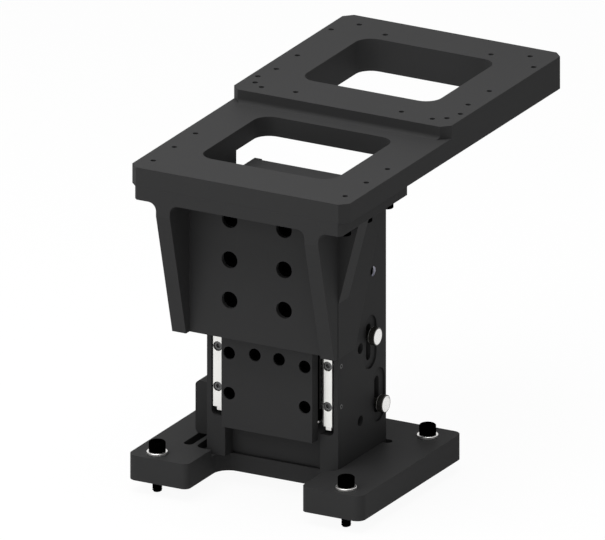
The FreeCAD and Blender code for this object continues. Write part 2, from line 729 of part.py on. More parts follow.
def make_lead_nut():
    bore = d.screw_diameter / 2 + d.running_fit
    barrel = d.nut_barrel / 2
    flange = d.nut_flange / 2
    nut = turned("+Z", 0, d.drive_y, nut_bottom - d.nut_flange_thick, [
        (bore, 0), (flange, 0), (flange, d.nut_flange_thick), (barrel, d.nut_flange_thick),
        (barrel, d.nut_flange_thick + d.nut_height), (bore, d.nut_flange_thick + d.nut_height)])
    holes = [rod("+Z", side * d.nut_screw_x, d.drive_y, nut_bottom - d.nut_flange_thick,
                 d.small_hole, d.nut_flange_thick) for side in (-1, 1)]
    return cut(nut, *holes)


def make_nut_bracket():
    arm = box(-d.nut_half, d.nut_half, carriage_back, d.nut_back, nut_bottom, nut_top)
    plate_front = d.nut_back - d.striker_plate
    hanger = box(d.hanger_x, d.nut_half, plate_front, d.nut_back, striker_bottom, nut_bottom)
    plate = box(d.hanger_x, d.striker_reach, plate_front, d.nut_back,
                striker_bottom, striker_top)
    pad = box(d.striker_x, d.striker_reach, d.striker_front, d.striker_back,
              striker_bottom, striker_top)
    tools = [rod("+Z", 0, d.drive_y, nut_bottom, d.nut_barrel, d.nut_height),
             rod("+X", -d.nut_half, d.pin_y, d.nut_middle, d.hook_pin_diameter,
                 d.nut_half * 2)]
    for side in (-1, 1):
        tools.append(rod("+Z", side * d.nut_screw_x, d.drive_y, nut_bottom, d.small_root,
                         screw_hole))
        tools.append(rod("+Y", side * d.nut_bracket_screw_x, carriage_back, d.nut_middle,
                         d.middle_root, d.nut_bite + d.hole_spare))
    return cut(fuse(arm, hanger, plate, pad), *tools)


# Carriage, focus bracket and stage plate

def make_carriage():
    half = d.carriage_width / 2
    key_half = inner_rail_in - d.carriage_key_gap
    body = body_of("carriage")
    padded(body, "XY_Plane", d.carriage_bottom, [
        (-half, carriage_front), (half, carriage_front), (half, column_front),
        (key_half, column_front), (key_half, carriage_back), (-key_half, carriage_back),
        (-key_half, column_front), (-half, column_front)], d.carriage_top - d.carriage_bottom)
    tools = []
    sink = d.middle_tall + d.sink_play / 2
    places = both([(d.inner_screw_x, z) for z in rail_screw_heights])
    for x, z in places + both([(d.nut_bracket_screw_x, d.nut_middle)]):
        tools.append(rod("+Y", x, carriage_front, z, d.middle_hole,
                         carriage_back - carriage_front))
        tools.append(rod("+Y", x, carriage_front, z, d.middle_head + d.sink_play * 2, sink))
    for x, z in bracket_screw_places:
        tools.append(rod("+Y", x, carriage_front, z, d.large_root,
                         carriage_back - carriage_front))
    return cut(body, *tools)


def make_bracket():
    half = d.bracket_width / 2
    bottom = d.bracket_bottom
    wing = half + d.wing_width
    wing_foot = flange_bottom - d.wing_height
    flange_half = d.flange_width / 2
    body = body_of("focus_bracket")
    padded(body, "XZ_Plane", -bracket_front, [
        (-half, bottom), (half, bottom), (half, wing_foot), (wing, flange_bottom),
        (-wing, flange_bottom), (-half, wing_foot)], d.bracket_thick, back=True)
    padded(body, "XY_Plane", flange_bottom, [
        (-flange_half, stage_front), (flange_half, stage_front),
        (flange_half, d.flange_back), (d.yoke_half, d.flange_back),
        (d.yoke_half, carriage_front), (-d.yoke_half, carriage_front),
        (-d.yoke_half, d.flange_back), (-flange_half, d.flange_back)], d.flange_thick)
    rib_in = d.yoke_half
    for start in (-(rib_in + d.rib_thick), rib_in):
        padded(body, "YZ_Plane", start, [
            (bracket_front, bottom), (bracket_front, flange_bottom),
            (stage_front, flange_bottom), (stage_front, flange_bottom - d.rib_drop),
            (bracket_front - d.rib_foot, bottom)], d.rib_thick)
    gusset_thick = half - d.yoke_half
    for start in (-half, d.yoke_half):
        padded(body, "YZ_Plane", start, [
            (carriage_front, bottom), (carriage_front + d.gusset_foot, bottom),
            (d.flange_back, flange_bottom), (carriage_front, flange_bottom)], gusset_thick)
    rib_edges = [(side * x, flange_bottom) for side in (-1, 1)
                 for x in (rib_in, rib_in + d.rib_thick)]
    doc.recompute()
    base = body.Tip
    names = [name for name in edges_at(base.Shape, 1, rib_edges)
             if base.Shape.getElement(name).CenterOfMass.y < bracket_front.value]
    fillet = body.newObject("PartDesign::Fillet", "Fillet")
    fillet.Base = (base, names)
    tie(fillet, "Radius", d.rib_fillet)
    eased(body, "Chamfer", 2, [(-flange_half, stage_front), (flange_half, stage_front)],
          d.flange_chamfer)
    tools = []
    for x, z in bracket_screw_places:
        tools.append(rod("+Y", x, bracket_front, z, d.large_hole, d.bracket_thick))
        tools.append(rod("+Y", x, bracket_front, z, d.large_head + d.sink_play, d.bracket_sink))
    for x, y in flange_screw_places:
        tools.append(rod("+Z", x, y, flange_bottom, d.middle_hole, d.flange_thick))
    return cut(body, *tools)


def make_stage_plate():
    half = d.stage_width / 2
    body = body_of("stage_plate")
    padded(body, "XY_Plane", stage_bottom,
           rectangle(-half, half, stage_front, stage_back), d.stage_near_thick)
    padded(body, "XY_Plane", stage_near_top, [
        (-half + d.stage_chamfer, stage_step), (half - d.stage_chamfer, stage_step),
        (half, stage_step + d.stage_chamfer), (half, stage_back), (-half, stage_back),
        (-half, stage_step + d.stage_chamfer)], d.stage_far_thick - d.stage_near_thick)
    eased(body, "Chamfer", 2, [(-half, stage_front), (half, stage_front),
          (half, stage_back), (-half, stage_back)], d.stage_chamfer)
    eased(body, "Fillet", 0, [(stage_step, stage_near_top)], d.step_fillet)
    corners = []
    opening = d.opening_width / 2
    for front, length, top in (
            (stage_front + d.near_opening_front, d.near_opening_length, stage_near_top),
            (stage_step + d.far_opening_front, d.far_opening_length, stage_far_top)):
        pocketed(body, "XY_Plane", top,
                 rectangle(-opening, opening, front, front + length), top - stage_bottom)
        corners += [(side * opening, y) for side in (-1, 1) for y in (front, front + length)]
    eased(body, "Fillet", 2, corners, d.opening_corner)
    tools = [rod("+Z", x, y, stage_bottom, d.middle_root, d.stage_near_thick)
             for x, y in flange_screw_places]
    tools += [rod("+Z", x, y, stage_bottom, d.middle_root, d.stage_far_thick)
              for x, y in far_hole_places]
    return cut(body, *tools)


# Adjustable stops

def make_stop_block(y, z):
    half = d.stop_block / 2
    outside = inner_half - d.stop_wall_gap
    block = box(d.striker_x, outside, y - half, y + half, z - half, z + half)
    return cut(block, rod("-X", outside, y, z, d.knob_stem, outside - d.striker_x))


def make_knob(y, z):
    radius = d.knob_diameter / 2
    stem = d.knob_stem / 2 - d.running_fit
    inside = d.striker_x + d.stem_inset
    reach = column_half + d.knob_gap - inside
    top = reach + d.knob_thick
    edge = d.knob_chamfer
    return turned("+X", inside, y, z, [
        (0, 0), (stem, 0), (stem, reach), (radius - edge, reach), (radius, reach + edge),
        (radius, top - edge), (radius - edge, top), (0, top)])


# places that several pieces share
groove_depth = (d.roller_diameter * math.sqrt(2) - d.rail_split) / 2 + d.roller_play
cage_bottom = d.rail_bottom + (d.rail_length - d.cage_length) / 2
roller_count = int((d.cage_length.value - d.roller_pitch.value) / d.roller_pitch.value) + 1
roller_first = cage_bottom + (d.cage_length - d.roller_pitch * (roller_count - 1)) / 2
roller_heights = [roller_first + d.roller_pitch * step for step in range(roller_count)]
screw_hole = d.screw_bite + d.hole_spare
inner_rail_ends = [("+Z", d.rail_bottom + d.inner_rail_trim),
                   ("-Z", rail_top - d.inner_rail_trim)]
column_screw_places = [(side * d.column_screw_x, d.column_screw_y + end * d.column_screw_span / 2)
                       for side in (-1, 1) for end in (-1, 1)]
bearing_screw_z = d.bearing_block_bottom + d.bearing_block_height / 2
bearing_screw_places = both([(d.bearing_screw_x, bearing_screw_z)])
mount_screw_z = mount_bottom + d.mount_thick / 2
mount_screw_places = both([(d.mount_screw_x, mount_screw_z)])
motor_screw_places = [(side * d.motor_pattern / 2, d.drive_y + end * d.motor_pattern / 2)
                      for side in (-1, 1) for end in (-1, 1)]
cover_screw_places = [(x * d.cover_screw_x, z) for x in (-1, 0, 1)
                      for z in (inner_floor - d.cover_screw_inset,
                                inner_top + d.cover_screw_inset)]
bearing_bottom = d.bearing_block_bottom + d.bearing_block_height - d.bearing_width
lead_screw_bottom = d.bearing_block_bottom + d.bearing_width / 2
lower_knob_z = d.lower_slot_z - d.lower_knob_drop
upper_knob_z = d.upper_slot_z + d.upper_knob_rise
striker_clearance = d.stop_block / 2 + d.stop_gap + d.focus_travel
striker_bottom = lower_knob_z + striker_clearance
striker_top = upper_knob_z - striker_clearance
cable_y = (d.housing_back - d.housing_front) / 2
cable_z = d.base_thick + d.housing_height / 2
housing_screw_places = [
    (-d.housing_front + d.housing_screw_inset, d.base_thick + d.housing_screw_inset),
    (d.housing_back - d.housing_screw_inset,
     d.base_thick + d.housing_height - d.housing_screw_inset)]
bracket_screw_places = both([(d.bracket_screw_x, z) for z in bracket_screw_heights])
flange_screw_places = both([(d.side_hole_x, stage_front + d.near_hole_front
                             + d.stage_hole_pitch * step) for step in range(3)])
far_hole_places = both(
    [(d.side_hole_x, stage_step + d.far_hole_front + d.stage_hole_pitch * step)
     for step in range(3)]
    + hole_pair(d.corner_hole_x, d.corner_hole_front, d.corner_hole_span)
    + hole_pair(d.side_hole_far_x, d.side_hole_front, d.side_hole_span)
    + hole_pair(d.inner_hole_x, d.inner_hole_front, d.inner_hole_span))

# base and column
keep(make_base_plate(), "base_plate")
corners = [(side * bolt_x, end * bolt_y) for side in (-1, 1) for end in (-1, 1)]
washer_top = d.base_thick + d.washer_thick
keep(group(*[base_bolt(x, y) for x, y in corners]), "base_bolts")
keep(group(*[cut(rod("+Z", x, y, d.base_thick, d.washer_diameter, d.washer_thick),
                 rod("+Z", x, y, d.base_thick, d.washer_hole, d.washer_thick))
             for x, y in corners]), "base_washers")
keep(make_column(), "column_housing")
column_screw_seat = d.large_tall + d.sink_play
keep(group(*[screw("+Z", x, y, column_screw_seat, d.large_root,
                   column_foot - column_screw_seat + d.column_screw_bite,
                   d.large_head, d.large_tall) for x, y in column_screw_places]),
     "column_screws")
keep(make_cover(), "back_cover")
keep(group(*[screw("-Y", x, cover_back, z, d.light_root, d.cover_thick + d.screw_bite,
                   d.light_head, d.light_tall / 2) for x, z in cover_screw_places]),
     "back_cover_screws")
keep(make_housing(), "cable_housing")
housing_seat = -column_half - d.housing_reach + d.light_tall + d.sink_play
keep(group(*[screw("+X", housing_seat, y, z, d.light_root,
                   d.screw_bite - column_half - housing_seat,
                   d.light_head, d.light_tall) for y, z in housing_screw_places]),
     "cable_housing_screws")
keep(make_board(), "terminal_board")

# fixed rails
keep(make_outer_rail(-1), "left_outer_rail")
keep(make_outer_rail(1), "right_outer_rail")
rail_seat = column_front + d.light_tall + d.sink_play * 2
keep(group(*[screw("+Y", side * d.outer_screw_x, rail_seat, z, d.light_root,
                   channel_floor - rail_seat + d.screw_bite, d.light_head, d.light_tall)
             for side in (-1, 1) for z in rail_screw_heights]), "outer_rail_screws")
tabs = []
for side in (-1, 1):
    tab_edge = side * d.stop_tab_x + d.stop_tab_shift - d.stop_tab_width / 2
    for low in (d.rail_bottom - d.stop_tab_height, rail_top):
        tabs.append(box(tab_edge, tab_edge + d.stop_tab_width, column_front,
                        column_front + d.stop_tab_reach, low, low + d.stop_tab_height))
keep(group(*tabs), "rail_end_stops")
keep(group(*[rod("-X", column_half, rail_middle, z, d.preload_screw,
                 column_half - outer_rail_out) for z in rail_screw_heights]),
     "preload_screws")

# counterbalance
pin_half = column_half - d.clip_seat_depth
keep(rod("+X", -pin_half, d.pin_y, pin_z, d.pin_diameter, pin_half * 2), "spring_pin")
keep(group(make_clip(-1), make_clip(1)), "pin_clips")
keep(make_spring(-1), "left_spring")
keep(make_spring(1), "right_spring")

# drive
keep(make_motor(), "drive_motor")
keep(make_motor_mount(), "motor_mount")
mount_seat = channel_floor + d.light_tall + d.sink_play
keep(group(*[screw("+Y", x, mount_seat, z, d.light_root, inner_front - mount_seat + d.mount_bite,
                   d.light_head, d.light_tall) for x, z in mount_screw_places]),
     "motor_mount_screws")
motor_seat = mount_bottom + d.small_tall + d.cover_gap
keep(group(*[screw("+Z", x, y, motor_seat, d.small_root, motor_base - motor_seat + d.motor_bite,
                   d.small_head, d.small_tall) for x, y in motor_screw_places]),
     "motor_screws")
keep(make_bearing_block(), "bearing_block")
bearing_seat = channel_floor + d.middle_tall + d.sink_play
keep(group(*[screw("+Y", x, bearing_seat, z, d.middle_root,
                   inner_front - bearing_seat + d.bearing_bite, d.middle_head, d.middle_tall)
             for x, z in bearing_screw_places]), "bearing_block_screws")
keep(make_bearing(), "screw_bearing")
keep(make_lead_screw(), "lead_screw")
keep(make_lead_nut(), "lead_nut")
keep(group(*[screw("+Z", side * d.nut_screw_x, d.drive_y, nut_bottom - d.nut_flange_thick,
                   d.small_root, d.nut_flange_thick + d.screw_bite, d.small_head, d.small_tall / 2)
             for side in (-1, 1)]), "lead_nut_screws")
keep(make_nut_bracket(), "nut_bracket")
nut_seat = carriage_front + d.middle_tall + d.sink_play / 2
keep(group(*[screw("+Y", side * d.nut_bracket_screw_x, nut_seat, d.nut_middle, d.middle_root,
                   carriage_back - nut_seat + d.nut_bite, d.middle_head, d.middle_tall)
             for side in (-1, 1)]), "nut_bracket_screws")
keep(rod("+X", -d.hook_pin_reach, d.pin_y, d.nut_middle, d.hook_pin_diameter,
         d.hook_pin_reach * 2), "hook_pin")

# moving carriage
keep(make_carriage(), "carriage")
keep(make_inner_rail(-1), "left_inner_rail")
keep(make_inner_rail(1), "right_inner_rail")
keep(group(*[screw("+Y", side * d.inner_screw_x, nut_seat, z, d.middle_root,
                   column_front - nut_seat + d.inner_bite, d.middle_head, d.middle_tall)
             for side in (-1, 1) for z in rail_screw_heights]), "inner_rail_screws")
keep(group(*[screw(way, side * d.end_screw_x, rail_middle, z, d.small_root, d.screw_bite,
                   d.end_screw_head, d.end_screw_tall)
             for side in (-1, 1) for way, z in inner_rail_ends]), "inner_rail_end_screws")
for side, hand in ((-1, "left"), (1, "right")):
    keep(make_cage(side), f"{hand}_roller_cage")
    keep(make_rollers(side), f"{hand}_rollers")
keep(make_bracket(), "focus_bracket")
bracket_seat = bracket_front + d.bracket_sink
keep(group(*[screw("+Y", x, bracket_seat, z, d.large_root,
                   carriage_front - bracket_seat + d.carriage_thick, d.large_head, d.large_tall)
             for x, z in bracket_screw_places]), "bracket_screws")
keep(make_stage_plate(), "stage_plate")
keep(group(*[screw("+Z", x, y, flange_bottom, d.middle_root,
                   d.flange_thick + d.stage_screw_bite, d.middle_head, d.middle_tall)
             for x, y in flange_screw_places]), "stage_plate_screws")

# adjustable stops on the right side
keep(make_stop_block(d.upper_slot_y, upper_knob_z), "upper_stop_block")
keep(make_stop_block(d.lower_slot_y, lower_knob_z), "lower_stop_block")
keep(make_knob(d.upper_slot_y, upper_knob_z), "upper_stop_knob")
keep(make_knob(d.lower_slot_y, lower_knob_z), "lower_stop_knob")

doc.recompute()
failed = [item.Name for item in doc.Objects if "Invalid" in item.State or "Error" in item.State]
if failed:
    raise RuntimeError(f"objects that failed: {failed}")
for subpart in subparts:
    if subpart.Shape.isNull() or not subpart.Shape.isValid():
        raise RuntimeError(f"{subpart.Label} has no valid shape")

os.makedirs("parts", exist_ok=True)
for subpart in subparts:
    subpart.Shape.exportStep(f"parts/{subpart.Label}.step")
    bounds = subpart.Shape.BoundBox
    print(subpart.Label, len(subpart.Shape.Solids), "solids",
          f"{bounds.XMin:.2f} {bounds.XMax:.2f} {bounds.YMin:.2f} {bounds.YMax:.2f} "
          f"{bounds.ZMin:.2f} {bounds.ZMax:.2f}")
print(len(subparts), "pieces")
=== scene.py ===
import bmesh
import bpy
import json
import math
from mathutils import Matrix, Vector

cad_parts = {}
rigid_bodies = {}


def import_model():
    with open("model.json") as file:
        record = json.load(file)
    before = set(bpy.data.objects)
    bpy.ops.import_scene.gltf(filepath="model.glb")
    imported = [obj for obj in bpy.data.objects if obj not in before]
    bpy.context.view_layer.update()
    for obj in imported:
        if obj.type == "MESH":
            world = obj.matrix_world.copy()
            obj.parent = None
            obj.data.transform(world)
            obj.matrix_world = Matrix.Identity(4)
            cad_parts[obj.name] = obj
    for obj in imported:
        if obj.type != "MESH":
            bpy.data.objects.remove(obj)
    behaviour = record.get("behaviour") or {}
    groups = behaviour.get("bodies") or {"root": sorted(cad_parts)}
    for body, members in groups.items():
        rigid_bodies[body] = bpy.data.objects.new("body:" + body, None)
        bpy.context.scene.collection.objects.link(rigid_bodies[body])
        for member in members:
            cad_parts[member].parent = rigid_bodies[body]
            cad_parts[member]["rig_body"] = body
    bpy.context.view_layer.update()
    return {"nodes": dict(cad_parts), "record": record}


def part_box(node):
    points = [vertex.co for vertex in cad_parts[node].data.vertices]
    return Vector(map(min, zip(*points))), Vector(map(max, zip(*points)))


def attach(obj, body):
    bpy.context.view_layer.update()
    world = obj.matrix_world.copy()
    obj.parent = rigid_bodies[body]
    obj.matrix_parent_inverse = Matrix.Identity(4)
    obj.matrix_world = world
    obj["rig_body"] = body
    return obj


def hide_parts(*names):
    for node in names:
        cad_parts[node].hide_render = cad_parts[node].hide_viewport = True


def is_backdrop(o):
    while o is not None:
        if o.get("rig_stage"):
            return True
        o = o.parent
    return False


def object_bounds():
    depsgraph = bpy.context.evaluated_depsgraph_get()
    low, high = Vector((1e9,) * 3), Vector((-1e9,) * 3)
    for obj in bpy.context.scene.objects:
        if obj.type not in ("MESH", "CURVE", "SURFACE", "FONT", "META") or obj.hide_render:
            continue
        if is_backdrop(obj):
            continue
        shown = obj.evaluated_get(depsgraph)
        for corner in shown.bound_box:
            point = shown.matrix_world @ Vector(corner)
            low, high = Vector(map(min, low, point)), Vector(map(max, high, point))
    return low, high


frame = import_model()
nodes = frame["nodes"]
print("frame loaded:", len(nodes), "nodes")

mm = 0.001
tiny = 1e-7     # metres, for points that are one
weld = 1e-6


# Camera and light

cameraLook = {
    "frameWidth": 0.35236,      # metres across the picture
    "tilt": 69.842,             # degrees from straight down
    "turn": 28.319,             # degrees to the right of the front
    "aim": (0.0, 0.01236, 0.11996),
    "distance": 1.5,
}


def makeCamera(look):
    data = bpy.data.cameras.new("camera")
    data.type = "ORTHO"
    data.ortho_scale = look["frameWidth"]
    camera = bpy.data.objects.new("camera", data)
    bpy.context.scene.collection.objects.link(camera)
    tilt, turn = math.radians(look["tilt"]), math.radians(look["turn"])
    camera.rotation_euler = (tilt, 0, turn)
    away = Vector((math.sin(turn) * math.sin(tilt), -math.cos(turn) * math.sin(tilt),
                   math.cos(tilt)))
    camera.location = Vector(look["aim"]) + away * look["distance"]
    bpy.context.scene.camera = camera


# watts, place, size in metres
lampLook = {
    "overhead": {"power": 17.0, "at": (-0.10, -0.15, 1.25), "size": 1.1},
    "front": {"power": 4.8, "at": (-0.45, -1.15, 0.55), "size": 0.9},
}
lampAim = Vector((0, 0.03, 0.1))


def makeLamp(name, look):
    data = bpy.data.lights.new(name, "AREA")
    data.energy = look["power"]
    data.shape = "SQUARE"
    data.size = look["size"]
    lamp = bpy.data.objects.new(name, data)
    bpy.context.scene.collection.objects.link(lamp)
    lamp.location = look["at"]
    aim = lampAim - lamp.location
    lamp.rotation_euler = aim.to_track_quat("-Z", "Y").to_euler()


worldLook = {"ambient": 0.286, "backdrop": 1.0}


def addNode(tree, kind, **values):
    node = tree.nodes.new(kind)
    for name, value in values.items():
        setattr(node, name, value)
    return node


def makeWorld(look):
    world = bpy.data.worlds.new("studio")
    bpy.context.scene.world = world
    world.use_nodes = True
    tree = world.node_tree
    tree.nodes.clear()
    rays = addNode(tree, "ShaderNodeLightPath")
    seen = addNode(tree, "ShaderNodeMath", operation="ADD", use_clamp=True)
    seenThrough = addNode(tree, "ShaderNodeMath", operation="ADD", use_clamp=True)
    tree.links.new(rays.outputs["Is Camera Ray"], seen.inputs[0])
    tree.links.new(rays.outputs["Is Glossy Ray"], seen.inputs[1])
    tree.links.new(seen.outputs[0], seenThrough.inputs[0])
    tree.links.new(rays.outputs["Is Transmission Ray"], seenThrough.inputs[1])
    ambient = addNode(tree, "ShaderNodeBackground")
    ambient.inputs["Strength"].default_value = look["ambient"]
    backdrop = addNode(tree, "ShaderNodeBackground")
    backdrop.inputs["Strength"].default_value = look["backdrop"]
    backdrop.inputs["Color"].default_value = (1, 1, 1, 1)
    ambient.inputs["Color"].default_value = (1, 1, 1, 1)
    mix = addNode(tree, "ShaderNodeMixShader")
    output = addNode(tree, "ShaderNodeOutputWorld")
    tree.links.new(seenThrough.outputs[0], mix.inputs[0])
    tree.links.new(ambient.outputs[0], mix.inputs[1])
    tree.links.new(backdrop.outputs[0], mix.inputs[2])
    tree.links.new(mix.outputs[0], output.inputs[0])


floorLook = {"halfSize": 4.0, "whiteShare": 0.94, "colour": (0.9, 0.9, 0.9, 1)}


def makeFloor(look):
    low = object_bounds()[0][2]
    mesh = bpy.data.meshes.new("floor")
    half = look["halfSize"]
    mesh.from_pydata([(-half, -half, low), (half, -half, low), (half, half, low),
                      (-half, half, low)], [], [(0, 1, 2, 3)])
    floor = bpy.data.objects.new("floor", mesh)
    bpy.context.scene.collection.objects.link(floor)
    material = bpy.data.materials.new("floorWhite")
    material.use_nodes = True
    tree = material.node_tree
    tree.nodes.clear()
    paint = addNode(tree, "ShaderNodeBsdfDiffuse")
    paint.inputs["Color"].default_value = look["colour"]
    glow = addNode(tree, "ShaderNodeEmission")
    glow.inputs["Strength"].default_value = 1.0
    rays = addNode(tree, "ShaderNodeLightPath")
    seen = addNode(tree, "ShaderNodeMath", operation="ADD", use_clamp=True)
    share = addNode(tree, "ShaderNodeMath", operation="MULTIPLY")
    share.inputs[1].default_value = look["whiteShare"]
    mix = addNode(tree, "ShaderNodeMixShader")
    output = addNode(tree, "ShaderNodeOutputMaterial")
    tree.links.new(rays.outputs["Is Camera Ray"], seen.inputs[0])
    tree.links.new(rays.outputs["Is Glossy Ray"], seen.inputs[1])
    tree.links.new(seen.outputs[0], share.inputs[0])
    tree.links.new(share.outputs[0], mix.inputs[0])
    tree.links.new(paint.outputs[0], mix.inputs[1])
    tree.links.new(glow.outputs[0], mix.inputs[2])
    tree.links.new(mix.outputs[0], output.inputs[0])
    mesh.materials.append(material)
    floor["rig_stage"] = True


makeCamera(cameraLook)
for lampName, look in lampLook.items():
    makeLamp(lampName, look)
makeWorld(worldLook)
makeFloor(floorLook)
bpy.context.scene.view_settings.view_transform = "Standard"
print("camera, lamps and floor ready")


# Shared shader groups

def newGroup(name, inputs, outputs):
    group = bpy.data.node_groups.new(name, "ShaderNodeTree")
    for label, kind, value in inputs:
        socket = group.interface.new_socket(label, in_out="INPUT", socket_type=kind)
        socket.default_value = value
    for label, kind in outputs:
        group.interface.new_socket(label, in_out="OUTPUT", socket_type=kind)
    return group, addNode(group, "NodeGroupInput"), addNode(group, "NodeGroupOutput")


noiseLook = {"fineDetail": 3.0, "cloudDetail": 4.0, "cloudRoughness": 0.6}
bevelSamples = 4
bumpDepth = 0.0002


def makeGrainGroup():
    # two sizes of noise on stretched object coordinates: a tone and a fine height
    group, start, end = newGroup(
        "machinedGrain",
        [("Stretch", "NodeSocketVector", (1, 1, 1)), ("Scale", "NodeSocketFloat", 400.0),
         ("Cloud Scale", "NodeSocketFloat", 30.0)],
        [("Fine", "NodeSocketFloat"), ("Cloud", "NodeSocketFloat")])
    place = addNode(group, "ShaderNodeTexCoord")
    stretch = addNode(group, "ShaderNodeVectorMath", operation="MULTIPLY")
    fine = addNode(group, "ShaderNodeTexNoise")
    fine.inputs["Detail"].default_value = noiseLook["fineDetail"]
    cloud = addNode(group, "ShaderNodeTexNoise")
    cloud.inputs["Detail"].default_value = noiseLook["cloudDetail"]
    cloud.inputs["Roughness"].default_value = noiseLook["cloudRoughness"]
    group.links.new(place.outputs["Object"], stretch.inputs[0])
    group.links.new(start.outputs["Stretch"], stretch.inputs[1])
    group.links.new(stretch.outputs[0], fine.inputs["Vector"])
    group.links.new(start.outputs["Scale"], fine.inputs["Scale"])
    group.links.new(place.outputs["Object"], cloud.inputs["Vector"])
    group.links.new(start.outputs["Cloud Scale"], cloud.inputs["Scale"])
    group.links.new(fine.outputs[0], end.inputs["Fine"])
    group.links.new(cloud.outputs[0], end.inputs["Cloud"])
    return group


def makeEdgeGroup():
    # where the rounded normal leaves the face's own normal, the edge colour is lightened: partly
    # a worn coat, partly a painted highlight along the edges
    group, start, end = newGroup(
        "softEdge",
        [("Radius", "NodeSocketFloat", 0.0003), ("Gain", "NodeSocketFloat", 4.0)],
        [("Mask", "NodeSocketFloat"), ("Normal", "NodeSocketVector")])
    bevel = addNode(group, "ShaderNodeBevel", samples=bevelSamples)
    face = addNode(group, "ShaderNodeNewGeometry")
    dot = addNode(group, "ShaderNodeVectorMath", operation="DOT_PRODUCT")
    turned = addNode(group, "ShaderNodeMath", operation="SUBTRACT")
    turned.inputs[0].default_value = 1.0
    mask = addNode(group, "ShaderNodeMath", operation="MULTIPLY", use_clamp=True)
    group.links.new(start.outputs["Radius"], bevel.inputs["Radius"])
    group.links.new(bevel.outputs[0], dot.inputs[0])
    group.links.new(face.outputs["Normal"], dot.inputs[1])
    group.links.new(dot.outputs["Value"], turned.inputs[1])
    group.links.new(turned.outputs[0], mask.inputs[0])
    group.links.new(start.outputs["Gain"], mask.inputs[1])
    group.links.new(mask.outputs[0], end.inputs["Mask"])
    group.links.new(bevel.outputs[0], end.inputs["Normal"])
    return group


grainGroup = makeGrainGroup()
edgeGroup = makeEdgeGroup()


# Finishes

